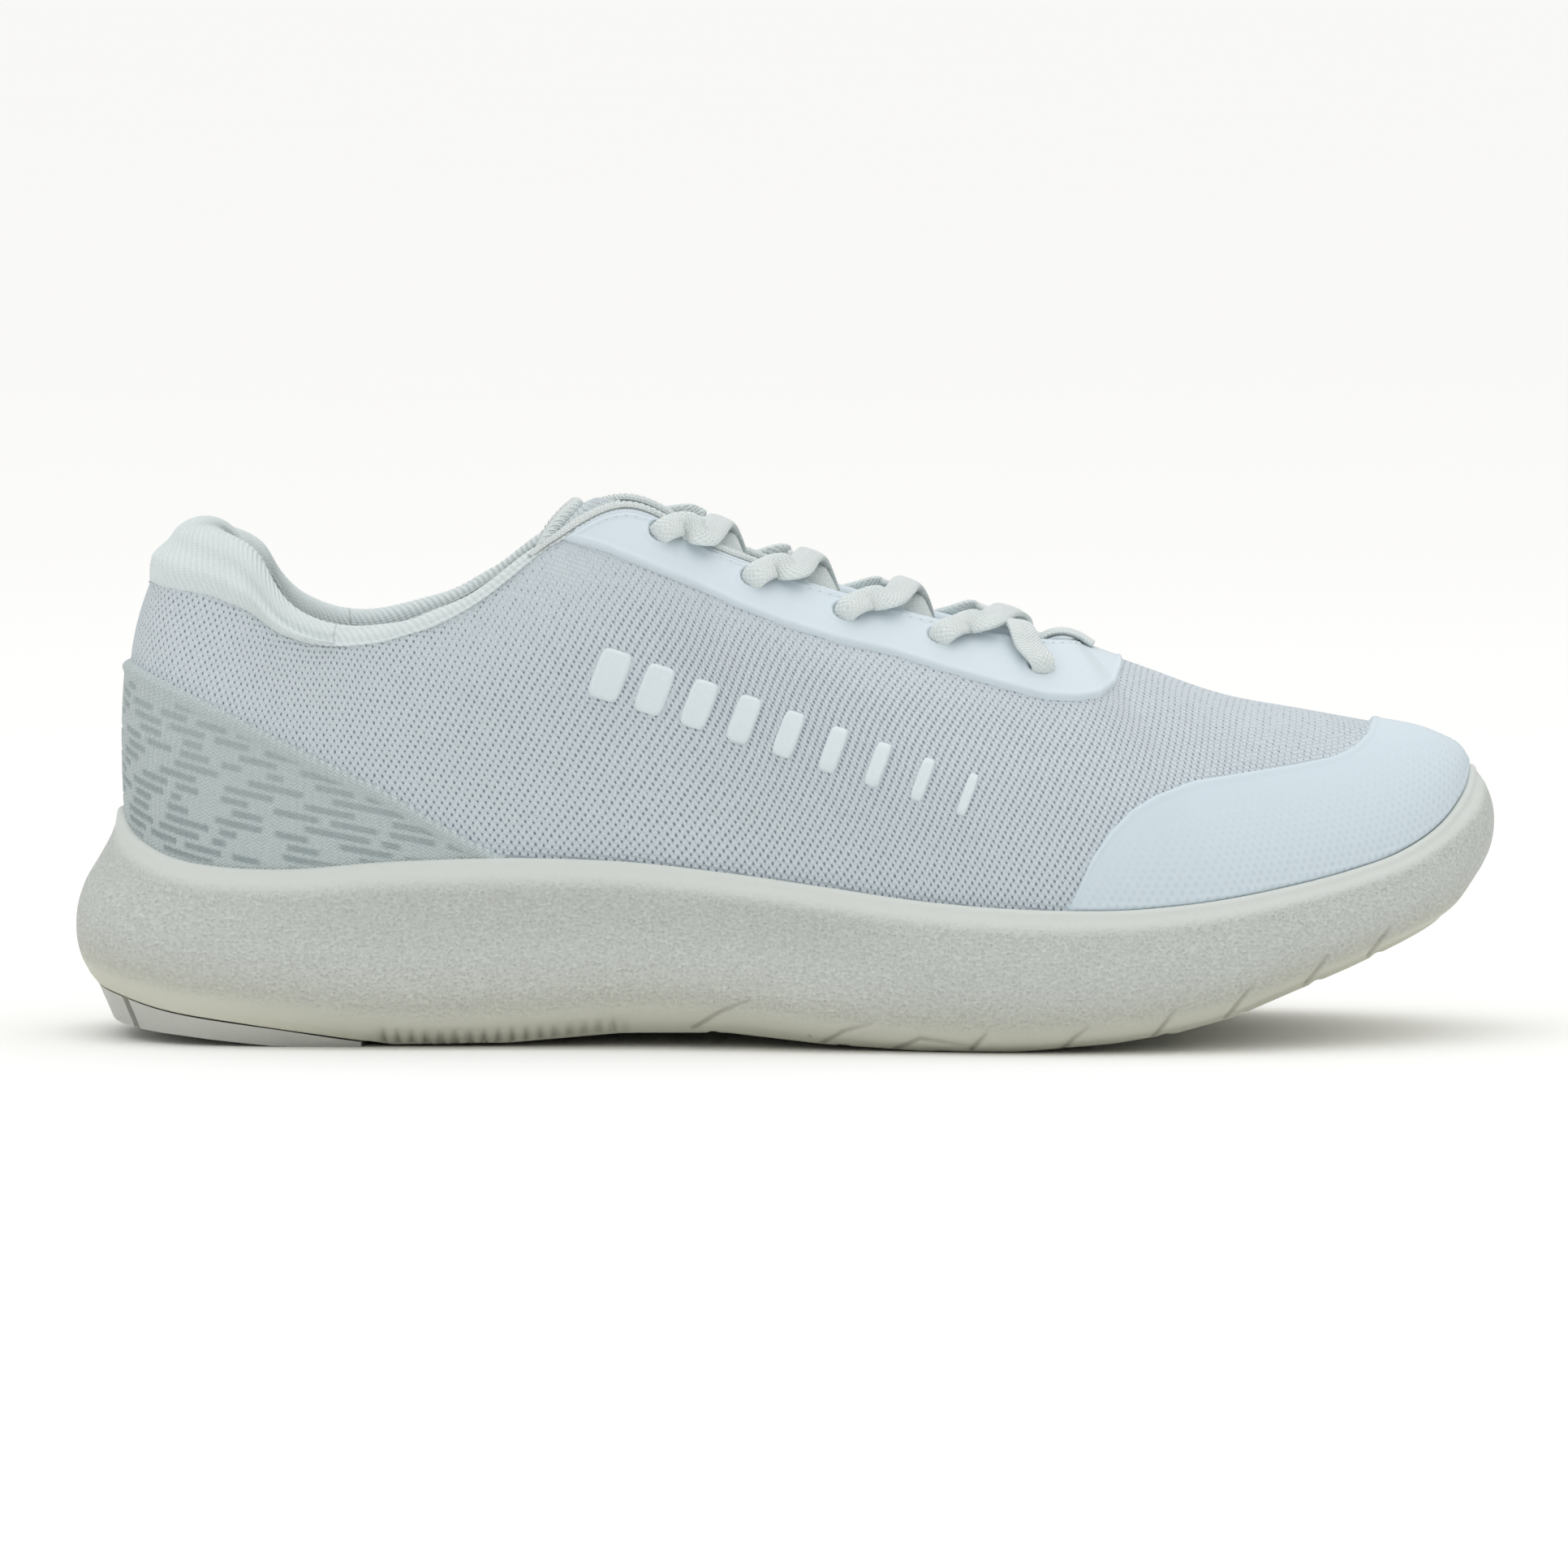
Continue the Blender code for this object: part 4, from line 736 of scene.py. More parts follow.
for inset, lift in ((0.8, -0.25), (2.5, -0.35), (6, -0.3), (12, -0.2)):
    layers.insert(0, underside(inset, lift))
    fs.insert(0, np.zeros(len(S)))
    recess_shades.insert(0, np.zeros(len(S)))
P = np.stack(layers, 1)
U = arc(np.concatenate([O, O[:1]]))
U = np.minimum(U, U[-1] - U)[:-1]
PAT = np.stack([np.repeat(U[:, None], P.shape[1], 1), P[..., 2], np.stack(fs, 1)], -1)
midsole = grid_mesh("midsole", P, FOAM, PAT, None, wrap_u=True)
# the painted shade for sipes and teeth goes on the midsole as a point attribute
recess_shade_layer = midsole.data.attributes.new("recess_shade", "FLOAT", "POINT")
recess_shade_layer.data.foreach_set("value", np.stack(recess_shades, 1).astype(np.float32).ravel())
bm = bmesh.new()
bm.from_mesh(midsole.data)
bm.verts.ensure_lookup_table()
nu, nv = P.shape[:2]
for j in (0, nv - 1):
    ring = [bm.verts[i * nv + j] for i in range(nu)]
    halfway = nu // 2
    for i in range(halfway):
        quad = [ring[i], ring[i + 1], ring[(nu - i - 1) % nu], ring[(nu - i) % nu]]
        quad = list(dict.fromkeys(quad))
        if len(quad) > 2:
            bm.faces.new(quad)
bmesh.ops.recalc_face_normals(bm, faces=bm.faces)
bm.to_mesh(midsole.data)
bm.free()
midsole.data.shade_smooth()
across_flex(midsole, "foam", "midsole_rear", "midsole_toe")

for name in ("outsole_heel_lateral", "outsole_heel_medial", "outsole_heel_rear", "outsole_forefoot", "outsole_toe"):
    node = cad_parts[name]
    node.data.materials.clear()
    node.data.materials.append(RUBBER)
    rounding = node.modifiers.new("round", "BEVEL")
    rounding.width, rounding.segments, rounding.limit_method = 0.0004, 2, "ANGLE"
    rounding.angle_limit = math.radians(35)

# ------------------------------------------------------------------ knit upper
def seam_height(s):
    k = fold(s)[0]
    return np.where(k < 7, np.interp(k, range(8), SEAM), np.where(k < RIDGE, 0.985, 1.0))


def soft(u, v, size):
    """A smooth unevenness, as of cloth over foam."""
    return size * (np.sin(u / 9.1 + 1.3 * np.sin(v / 13)) * np.sin(v / 7.7 + 0.7) + 0.6 * np.sin(u / 4.3 + v / 6.1))


S = np.arange(0, LOOP, FINE)
TOPV = seam_height(S)
frac = np.concatenate([[-0.3, -0.15], np.linspace(0, 1, 60)])
V = np.where(frac[None] < 0, frac[None], frac[None] * TOPV[:, None])
P0 = skin_grid(S, V)
UP = arc(P0.transpose(1, 0, 2)).transpose(1, 0)
UU = along(S)[:, None] + 0 * V
K2 = fold(S)[0][:, None] + 0 * V
D = soft(UU, UP, 0.10) * (V > 0) * np.where(K2 > 12.5, np.clip((0.96 - V) / 0.2, 0, 1), 1.0)
opening = 0.10 * np.clip((K2 - 3) / 4, 0, 1) - 0.40 * np.clip((V - 0.62) / 0.3, 0, 1) * np.clip((K2 - 4.2) / 2.2, 0, 1) * np.clip((13.8 - K2) / 1.6, 0, 1) - 0.25 * np.clip((K2 - 11) / 4, 0, 1)
# The pattern meets along the toe's ridge, although the two sides differ in height.
total_up = UP[:, -1]
even = (total_up - np.interp((LOOP - S) % LOOP, S, total_up, period=LOOP)) / 2 * np.clip((fold(S)[0] - 11) / 2, 0, 1)
UP = UP - even[:, None] * np.clip(V, 0, 1)
P = skin_grid(S, V, D)
knit = grid_mesh("knit_upper", P, KNIT, np.stack([UU, UP, opening], -1), P - skin_grid(S, V, -1.0), wrap_u=True, weld=0.02)
across_flex(knit, "knit", "quarter_mesh", "vamp_flex_panel", "toe_box_mesh")


# ------------------------------------------------------------------ bonded films
def film_patch(name, S, LOW, HIGH, n, mat, depth=FILM_D, ends=True, edge_mm=0.9, extra=None, ridge_from=99.0):
    """A patch with soft, raised edges. LOW and HIGH are heights for each station."""
    t = np.linspace(0, 1, n)
    V = LOW[:, None] + (HIGH - LOW)[:, None] * t[None]
    base = skin_grid(S, V)
    up = arc(base.transpose(1, 0, 2)).transpose(1, 0)
    total = up[:, -1:]
    far = total - up
    far = np.where((fold(S)[0] >= ridge_from)[:, None], 99.0, far)
    near = np.minimum(up, far)
    if ends:
        us = np.minimum(arc(base[:, n // 2]), arc(base[::-1, n // 2])[::-1])
        near = np.minimum(near, us[:, None])
    rise = np.clip(near / edge_mm, 0, 1)
    rise = np.sqrt(1 - (1 - rise) ** 2)
    D = -0.35 + (depth + 0.35) * rise
    D = D + 0.22 * np.exp(-((near - 1.3) / 0.55) ** 2)  # the pressed bead just inside the edge
    if extra is not None:
        D = D + extra(S, V, base)
    P = skin_grid(S, V, D)
    if ridge_from < 99:  # both sides meet on the ridge, although they face slightly apart there
        across = skin_grid(LOOP - S, V, D)[:, -1]
        P[:, -1] = np.where((fold(S)[0] >= ridge_from)[:, None], (P[:, -1] + across) / 2, P[:, -1])
    uu = along(S)[:, None] + 0 * V
    pat = np.stack([uu, up, np.clip(1 - up / np.maximum(total, 1) * 1.15, 0, 1)], -1)
    if ridge_from > 16:
        even = (total - total[::-1]) / 2 * np.clip((fold(S)[0] - 16) / 1.1, 0, 1)[:, None]
        pat[..., 1] -= even * t[None]
    return grid_mesh(name, P, mat, pat, P - skin_grid(S, V, D - 1.0), weld=0.02)


def above_lip(s):
    return np.minimum(0.3, 1.0 / (rib(s, 1.0)[:, 2] - rib(s, 0.0)[:, 2])) * 0.2


S = np.arange(10.5, LOOP - 10.5 + 0.001, FINE)
high = np.where(fold(S)[0] >= 17.1, 1.0, np.maximum(0.03, crossing(fold(S)[0], TOE_EDGE)))
toe_cap = film_patch("toe_cap", S, above_lip(S) * 0, high, 46, TOE_FILM, ridge_from=17.1)
across_flex(toe_cap, "film", "toe_cap_overlay")

holes = [locate(x, z, -1, 6.6, 13.0) for x, z in EYELETS]
holes = [(float(s[0]), float(v[0])) for s, v in holes]
HOLE_POINTS = np.array([rib(q, v)[0] for s, v in holes for q in (s, LOOP - s)])


def dents(S, V, base):
    d = np.linalg.norm(base[:, :, None] - HOLE_POINTS[None, None], axis=-1).min(-1)
    rim = 0.25 * np.exp(-((d - 3.1) / 0.6) ** 2)
    return rim - 3.2 * np.clip((2.6 - d) / 0.7, 0, 1)


def eyestay_half(side):
    S = np.concatenate([np.arange(6.08, 13.0, 0.022), np.arange(13.0, 13.7, 0.02)])
    k = S
    high = np.where(k < RIDGE, 0.988, 1.0)
    low = np.minimum(crossing(k, EYESTAY_EDGE, below=False), high - 0.004)
    st = S if side < 0 else LOOP - S
    thin = (FILM_D - 0.50 * np.clip((k - 12.2) / 1.0, 0, 1))[:, None]
    return film_patch("eyestay_%d" % side, st, low, high, 44, FILM, depth=thin, ends=False, extra=dents, ridge_from=RIDGE)


eyestay = join("eyestay", [eyestay_half(-1), eyestay_half(1)])
across_flex(eyestay, "film", "eyestay_overlay")

# The backing under the knit, which holds the eyelets.
def backing_half(side):
    S = np.arange(6.3, 13.61, 0.05)
    st = S if side < 0 else LOOP - S
    high = np.where(S < RIDGE, 0.972, 1.0)
    low = np.minimum(crossing(S, EYESTAY_EDGE, below=False) + 0.012, high - 0.004)
    V = low[:, None] + (high - low)[:, None] * np.linspace(0, 1, 24)[None]
    base = skin_grid(st, V)
    P = skin_grid(st, V, -1.9 + 0.5 * dents(st, V, base))
    pat = np.stack([along(st)[:, None] + 0 * V, arc(base.transpose(1, 0, 2)).transpose(1, 0), 0 * V], -1)
    return grid_mesh("backing_%d" % side, P, STIFF, pat, P - skin_grid(st, V, -3.9))


throat_backing = join("throat_backing", [backing_half(-1), backing_half(1)])
thick = throat_backing.modifiers.new("thickness", "SOLIDIFY")
thick.thickness, thick.offset = 0.0005, -1
across_flex(throat_backing, "stiffener", "eyestay_reinforcement")

# The throat's rolled edge: film, knit and backing together.
S = np.arange(6.3, 12.99, 0.05)
edge_parts = []
for side in (-1, 1):
    st = S if side < 0 else LOOP - S
    rows = [skin(st, 0.980, FILM_D - 0.1), skin(st, 0.987, FILM_D - 0.2)]
    mid = skin(st, 0.990, -0.9)
    out_dir = rib(st, 0.99) - rib(st, 0.97)
    out_dir /= np.linalg.norm(out_dir, axis=1, keepdims=True)
    n = normal(st, 0.985)
    for a in np.linspace(80, -90, 9):
        r = math.radians(a)
        rows.append(mid + out_dir * 1.1 * math.cos(r) + n * (1.75 * math.sin(r)))
    rows.append(skin(st, 0.95, -2.75))
    P = np.stack(rows, 1)
    pat = np.stack([along(st)[:, None] + 0 * P[..., 0], arc(P.transpose(1, 0, 2)).transpose(1, 0), 0 * P[..., 0]], -1)
    edge_parts.append(grid_mesh("edge_%d" % side, P, FILM, pat, P - mid[:, None]))
throat_edge = join("throat_edge", edge_parts)
across_flex(throat_edge, "film")


def heel_dashes(u, v):
    """Recessed dashes of 3 to 10 mm in rows 2.2 mm apart, falling towards the toe."""
    vv = v + 0.21 * u
    row = np.floor(vv / 2.3).astype(int)
    g = np.random.default_rng(11)
    pitch, phase, length = g.uniform(9, 19, 400), g.uniform(0, 15, 400), g.uniform(3.5, 15.0, 4000)
    r = row % 400
    cell = (u + phase[r]) / pitch[r]
    ci = np.floor(cell).astype(int)
    x = (cell - ci) * pitch[r]
    ln = np.minimum(length[(r * 37 + ci * 101) % 4000], pitch[r] - 1.6)
    y = vv - (row + 0.5) * 2.3
    ends = np.clip(np.minimum(x, ln - x) / 0.8, 0, 1)
    return ends * np.clip((0.80 - np.abs(y)) / 0.30, 0, 1)


S = np.arange(-5.0, 5.001, 0.016)
HEEL_TOP = np.maximum(0.02, crossing(fold(S)[0], HEEL_EDGE))
n = 96
t = np.linspace(0, 1, n)
V = 0.004 + (HEEL_TOP[:, None] - 0.004) * t[None]
base = skin_grid(S, V)
up = arc(base.transpose(1, 0, 2)).transpose(1, 0)
uu = along(S)[:, None] + 0 * V
zz = base[..., 2]
uh = np.where(base[..., 1] < 0, 1, 1) * uu
dash = heel_dashes(uh, zz)
far = up[:, -1:] - up
ends = np.minimum(uu.max() - uu, 99)
near = np.minimum(far, ends)
rise = np.sqrt(1 - (1 - np.clip(near / 1.1, 0, 1)) ** 2)
fade = np.clip((far - 2.6) / 1.0, 0, 1) * np.clip(up / 1.5, 0, 1)
# The dashes thin out upward and forward.
dash = dash * fade * (0.55 + 0.45 * np.clip(1.25 - up / 30 - uu / 90, 0, 1))
D = -0.3 + 1.45 * rise + 0.55 * np.exp(-((near - 1.5) / 0.9) ** 2) - 0.50 * dash + soft(uu, up, 0.06)
P = skin_grid(S, V, D)
heel = grid_mesh("heel_knit", P, JACQUARD, np.stack([uu, up, dash], -1), P - skin_grid(S, V, D - 1))
on(heel, "shoe", "jacquard", "heel_knit_overlay")

# ------------------------------------------------------------------ side emblems: a graded row of slanted bars
def bar_points(cx, cz, w, h, lean, n=25, m=41):
    """A rounded slanted bar's grid in side view, and its height over the film."""
    a, b = np.linspace(-1, 1, n), np.linspace(-1, 1, m)
    A, B = np.meshgrid(a, b, indexing="ij")
    r = min(w, h) * 0.5 * 0.95
    # A square grid pressed into a stadium, so that its corners are round.
    q = 5.0
    k = (np.abs(A) ** q + np.abs(B) ** q) ** (1 / q)
    big = np.maximum(np.abs(A), np.abs(B))
    shrink = np.where(k > 0, big / np.maximum(k, 1e-9), 1)
    A2, B2 = A * shrink, B * shrink
    x = A2 * w / 2
    z = B2 * h / 2
    edge = 1 - big
    height = np.sqrt(1 - (1 - np.clip(edge / 0.34, 0, 1)) ** 2) if w < 4 else np.sqrt(1 - (1 - np.clip(edge / 0.22, 0, 1)) ** 2)
    X = x + z * lean
    tilt = -0.3256
    return cx + X, cz + z + tilt * X, height, r


BARS = 9
bars = {-1: [], 1: []}
for side in (-1, 1):
    for i in range(BARS):
        f = i / (BARS - 1)
        cx = -36.5 + 74.5 * f
        cz = 66 - 0.3256 * cx
        w = 6.6 - 4.4 * f
        h = 11.4 - 2.0 * f
        X, Z, H, _ = bar_points(cx, cz, w, h, 0.34)
        s, v = locate(X.ravel(), Z.ravel(), side, 5.0, 11.0)
        D = (-0.15 + 1.0 * H).ravel()
        P = skin(s, v, D).reshape(*X.shape, 3)
        pat = np.stack([X, Z, H], -1)
        bars[side].append(grid_mesh("bar", P, TRANSFER, pat, np.array([0.0, float(side), 0.0])))
    o = join("side_bars_" + ("lateral" if side < 0 else "medial"), bars[side])
    on(o, "shoe", "transfer", "side_emblem_lateral" if side < 0 else "side_emblem_medial")

# ------------------------------------------------------------------ collar
def collar_controls(S, inset=0.0):
    k = fold(S)[0]
    r = half(np.array(ROLL + [1.3] * 12), k)[:, 0]
    w = half(np.array(PAD + [4.8] * 12), k)[:, 0]
    p = rib(S, 1.0)
    upd = p - rib(S, 0.97)
    upd /= np.linalg.norm(upd, axis=1, keepdims=True)
    nn = normal(S, 0.985)
    first = np.interp(k, range(8), SEAM)
    second = np.where(first < 0.975, (first + 1) / 2, first + 0.007)
    puff = np.where(first < 0.975, 1.2, 0.0)
    pts = [skin(S, first - 0.004, -0.9), skin(S, first, 0.35), skin(S, second, 0.5 + puff)]
    centre = p - nn * r[:, None]
    for i in range(9):
        a = math.pi * i / 8
        pts.append(centre + (nn * math.cos(a) + upd * math.sin(a)) * (r[:, None] - inset))
    for v, d in ((0.80, 0.6 * r + 0.7 * w), (0.48, 0.5 * w + 2.2), (0.25, 5.0), (0.0, 4.7), (-0.8, 4.7)):
        pts.append(skin(S, v, -d + inset))
    return np.stack(pts, 1)


S = np.arange(-6.9, 6.901, 0.03)
C = collar_controls(S)
ks = np.concatenate([np.linspace(0, 2, 12)[:-1], np.linspace(2, 11, 46)[:-1], np.linspace(11, C.shape[1] - 1, 34)])
P = catmull(C.transpose(1, 0, 2), ks).transpose(1, 0, 2)
path_len = arc(P.transpose(1, 0, 2)).transpose(1, 0)
uu = arc(P[:, 20])[:, None] + 0 * path_len
nrm = np.cross(np.gradient(P, axis=0), np.gradient(P, axis=1))
nrm /= np.linalg.norm(nrm, axis=2, keepdims=True)
mid_dir = P[len(S) // 2, 30] - C[len(S) // 2, 7]
if (nrm[len(S) // 2, 4] * np.array([-1.0, 0, 0.2])).sum() < 0:
    nrm = -nrm
ribs = 0.10 * np.cos((uu + 0.6 * path_len) * TAU / 1.5)
pucker = 0.16 * np.sin(uu / 2.7 + np.sin(uu / 6.3)) * np.exp(-(path_len - 4) ** 2 / 18)
loose = soft(uu, path_len, 0.22) * (path_len > 6)
seam_line = -0.55 * np.exp(-((np.abs(S)[:, None] - 3.72) / 0.035) ** 2) * (path_len > 16)  # a side seam in the lining
P = P + nrm * (ribs + pucker + loose + seam_line)[..., None]
collar = grid_mesh("collar", P, RIB, np.stack([uu, path_len, 0 * uu], -1), nrm)
on(collar, "shoe", "rib_knit", "collar_lining", "collar_foam")

# Lining over the instep and toes, seen through the mouth.
S = np.arange(6.3, LOOP - 6.3 + 0.001, 0.1)
k = fold(S)[0]
top = np.interp(k, (0, 12, 13, 13.5), (0.70, 0.68, 0.86, 1.0))
V = -0.9 + (top[:, None] + 0.9) * np.linspace(0, 1, 40)[None]
P = skin_grid(S, V, -3.3)
up = arc(P.transpose(1, 0, 2)).transpose(1, 0)
vamp = grid_mesh("vamp_lining_cloth", P, LINING, np.stack([along(S)[:, None] + 0 * V, up, 0 * V], -1), skin_grid(S, V, -4.3) - P, weld=0.02)
thick = vamp.modifiers.new("thickness", "SOLIDIFY")
thick.thickness, thick.offset = 0.0005, -1
across_flex(vamp, "rib_knit", "vamp_lining")


# ------------------------------------------------------------------ boards in the shoe
def board(name, inset, heights_, mat, slot, nodes, soft_=0.0, dish=0.0, rows=22):
    ks = np.arange(0, HALF + 0.001, 0.1)
    lat = outline(ks) - outward(ks) * inset
    med = outline(LOOP - ks) - outward(LOOP - ks) * inset
    med[-1], med[0] = lat[-1], lat[0]
    t = np.linspace(0, 1, rows)
    mid = lat[:, None] + (med - lat)[:, None] * t[None, :, None]
    side = np.minimum(t, 1 - t) * np.linalg.norm((med - lat)[:, :2], axis=1)[:, None]
    ends = np.minimum(np.minimum(mid[..., 0] - lat[0, 0], lat[-1, 0] - mid[..., 0]), side)
    lift = dish * np.clip(1 - ends / 9, 0, 1) ** 2
    top = mid.copy()
    top[..., 2] = floor_at(mid[..., 0]) + heights_[1] + lift + soft(mid[..., 0], mid[..., 1], soft_)
    edge_round = np.clip(1 - ends / 0.8, 0, 1)
    top[..., 2] -= edge_round * 0.8
    bottom = mid.copy()
    bottom[..., 2] = floor_at(mid[..., 0]) + heights_[0]
    P = np.concatenate([top, bottom[:, ::-1]], 1)
    pat = P.copy()
    o = grid_mesh(name, P, mat, pat, None, wrap_v=True, weld=0.01)
    return across_flex(o, slot, *nodes)


strobel = board("strobel_cloth", 7.8, (0.4, 1.5), BOARD, "board", ["strobel_board"])
insole = board("insole", 8.0, (2.1, 5.2), LINING, "padding", ["sockliner"], soft_=0.12, dish=1.6)


# ------------------------------------------------------------------ tongue
def tongue_rows(S, depth, spread, n_side=8, n_mid=20):
    zc = catmull(TONGUE_TOP, S)[:, 0]
    sides = []
    for q in (S, LOOP - S):
        sides.append(np.stack([skin(q, 1 - spread * (1 - i / n_side), -depth - 7.6) for i in range(n_side + 1)], 1))
    a, b = sides[0][:, -1], sides[1][:, -1]
    ha = np.stack([a[:, 0], a[:, 1] * 0.25, a[:, 2] + (zc - depth - a[:, 2]) * 4 / 3], 1)
    hb = np.stack([b[:, 0], b[:, 1] * 0.25, b[:, 2] + (zc - depth - b[:, 2]) * 4 / 3], 1)
    mid = []
    for i in range(1, n_mid):
        t = i / n_mid
        u = 1 - t
        mid.append(u ** 3 * a + 3 * u * u * t * ha + 3 * u * t * t * hb + t ** 3 * b)
    P = np.concatenate([sides[0], np.stack(mid, 1), sides[1][:, ::-1]], 1)
    # The tongue's top leans forward over the instep, most at its middle.
    across = 1 - np.minimum(1, np.abs(P[..., 1]) / np.abs(a[:, 1:2])) ** 2
    P[..., 0] += 0.55 * np.maximum(0, P[..., 2] - 98) * np.clip((8 - S) / 2, 0, 1)[:, None] * across
    return P


def tongue_spread(S):
    return np.where(S > 8, 0.17, 0.17 + 0.02 * (8 - S))


S = np.arange(5.98, 12.35, 0.05)
outer = tongue_rows(S, 0.0, tongue_spread(S))
inner = tongue_rows(S, 5.6, tongue_spread(S))
across_t = np.linspace(-1, 1, outer.shape[1])
taper = np.clip((1 - np.abs(across_t)) / 0.12, 0, 1) ** 0.5
endt = np.clip((S - 5.98) / 0.22, 0, 1) ** 0.5 * np.clip((12.34 - S) / 0.2, 0, 1) ** 0.5
middle = (outer + inner) / 2
full = (taper[None] * endt[:, None])[..., None]
channel = 0.7 * np.exp(-((np.abs(across_t) - 0.36) / 0.018) ** 2)
o_pts = middle + (outer - middle) * full
o_pts = o_pts - (outer - inner) / np.linalg.norm(outer - inner, axis=2, keepdims=True) * (channel[None] * endt[:, None])[..., None]
i_pts = middle + (inner - middle) * full
P = np.concatenate([o_pts, i_pts[:, ::-1]], 1)
uu = arc(P[:, outer.shape[1] // 2])[:, None] + 0 * P[..., 0]
vv = arc(P.transpose(1, 0, 2)).transpose(1, 0)
tongue = grid_mesh("tongue", P, TONGUE_KNIT, np.stack([uu, vv, 0 * uu - 0.05], -1), None, wrap_v=True, caps=True)
on(tongue, "tongue", "knit", "tongue_mesh", "tongue_foam", "tongue_lining")

# The overlocked edge: a core with a thread wound round it.
edge = tongue_rows(np.array([6.0]), 2.4, tongue_spread(np.array([6.0])), 8, 30)[0] + np.array([-0.7, 0, 0.5])
edge = resample(edge, 0.35)
binding = tube_mesh("tongue_edge", edge, 1.5, LACE, 14, TAU / 1.7, 0.13, normal_hint=(1, 0, 0.2))
on(binding, "tongue", "lace", "tongue_binding")

# ------------------------------------------------------------------ lace
LACE_R = 1.2
OVER, BELOW = FILM_D + 0.3 + LACE_R + 0.05, -3.9 - 0.3 - LACE_R - 0.25


def at(side, k, v, d):
    return skin(k if side < 0 else LOOP - k, v, d)[0]


def cross_point(k, lift):
    p = rib(k, 1.0)[0]
    return np.array([p[0], 0.0, float(catmull(TONGUE_TOP, k)[0, 0]) + 0.3 + LACE_R + lift])


def lace_half(side):
    """Control points from the front bar to the tail's tip: position, width, thickness, and the way across the band."""
    k, v = holes[4]
    flat, at_hole, hole = (5.9, 2.0), (5.3, 2.6), (4.2, 2.7)
    rows = []

    def put(p, size, way):
        if rows and way @ rows[-1][2] < 0:
            way = -way
        rows.append((p, size, way / np.linalg.norm(way)))

    def across(side_, k_, v_, d_):
        """The way across a band that runs along d_ on the surface there."""
        n_ = normal(k_ if side_ < 0 else LOOP - k_, v_)[0]
        return np.cross(n_, d_)

    first_way = across(side, k, v, at(side, k, 0.995, 0) - at(side, k, v, 0))
    put(at(side, k, 0.995, BELOW + 0.8), flat, first_way)
    put(at(side, k, v + 0.05, BELOW), flat, first_way)
    put(at(side, k, v, BELOW + 0.4), hole, first_way)
    put(at(side, k, v - 0.015, OVER - 0.2), at_hole, first_way)
    for j in (4, 3, 2, 1):
        k0, v0 = holes[j]
        k1, v1 = holes[j - 1]
        go = lambda f: k0 + (k1 - k0) * f
        far = -side
        leave, enter = at(side, go(0.08), 0.995, 0), at(far, go(0.54), 0.995, 0)
        run = (enter - leave) / np.linalg.norm(enter - leave)
        if j == 4:
            put(at(side, go(0.13), v0 + 0.06, OVER + 0.4), flat, across(side, k0, v0, run))
            put(at(side, go(0.20), 0.995, OVER + 0.6), flat, across(side, k0, 0.98, run))
        tilt = np.array([0.15, 0.42 * far, 0.88])
        put(cross_point(go(0.31), 4.4 if side > 0 else 1.9), flat, np.cross(tilt, run))
        put(at(far, go(0.54), 0.995, OVER + 1.0), flat, across(far, go(0.54), 0.98, run))
        put(at(far, go(0.79), v1 + 0.050, OVER + 0.4), flat, across(far, go(0.79), v1 + 0.05, run))
        put(at(far, k1, v1 - 0.015, OVER - 0.1), at_hole, across(far, k1, v1, run))
        side = far
        up_way = across(side, k1, v1, at(side, k1, 0.995, 0) - at(side, k1, v1, 0))
        put(at(side, k1, v1, BELOW + 0.1), hole, rows[-1][2])
        if j > 1:
            k2 = holes[j - 2][0]
            put(at(side, k1 + (k2 - k1) * 0.03, v1 + 0.05, BELOW - 0.1), flat, up_way)
            put(at(side, k1 + (k2 - k1) * 0.07, 0.995, BELOW + 0.9), flat, up_way)
    k1, v1 = holes[0]
    for f in (0.25, 1.2, 2.4, 3.4):
        put(at(side, k1 + f, v1 - 0.07 - 0.05 * f, BELOW - 0.1), (4.8, 1.5) if f < 3 else (2.2, 1.9), up_way + np.array([0, 0, 0.8 * f]) * np.sign(up_way[2] + 1e-9))
    return rows


one, two = lace_half(-1), lace_half(1)
whole = one[::-1] + [(cross_point(holes[4][0], -0.1), (5.7, 1.6), np.array([1.0, 0, 0]))] + two
rows = np.array([[*p, *size, *way] for p, size, way in whole])
for i in range(1, len(rows)):
    if rows[i, 5:] @ rows[i - 1, 5:] < 0:
        rows[i, 5:] *= -1
fine = catmull(rows, np.linspace(0, len(rows) - 1, 24 * len(rows)))
L_ = arc(fine[:, :3])
want = np.linspace(0, L_[-1], int(L_[-1] / (0.6)))
rows = np.stack([np.interp(want, L_, fine[:, i]) for i in range(8)], 1)
pos, width, thick_ = rows[:, :3], rows[:, 3], rows[:, 4]
T = np.gradient(pos, axis=0)
T /= np.linalg.norm(T, axis=1, keepdims=True)
W = rows[:, 5:] - (rows[:, 5:] * T).sum(1, keepdims=True) * T
W /= np.linalg.norm(W, axis=1, keepdims=True)
for i in range(1, len(W)):  # no sudden turn-over
    if W[i] @ W[i - 1] < 0:
        W[i] = -W[i]
for _ in range(4):
    W[1:-1] = W[:-2] + 2 * W[1:-1] + W[2:]
    W -= (W * T).sum(1, keepdims=True) * T
    W /= np.linalg.norm(W, axis=1, keepdims=True)
B = np.cross(T, W)
LACE_LEN = arc(pos)
a = np.linspace(0, TAU, 28, endpoint=False)
ca, sa = np.cos(a), np.sin(a)
sx = np.sign(ca) * np.abs(ca) ** 0.80
sy = np.sign(sa) * np.abs(sa) ** 0.75
puff = 1 + 0.05 * np.sin(LACE_LEN / 3.1) + 0.04 * np.sin(LACE_LEN / 1.7 + 1)
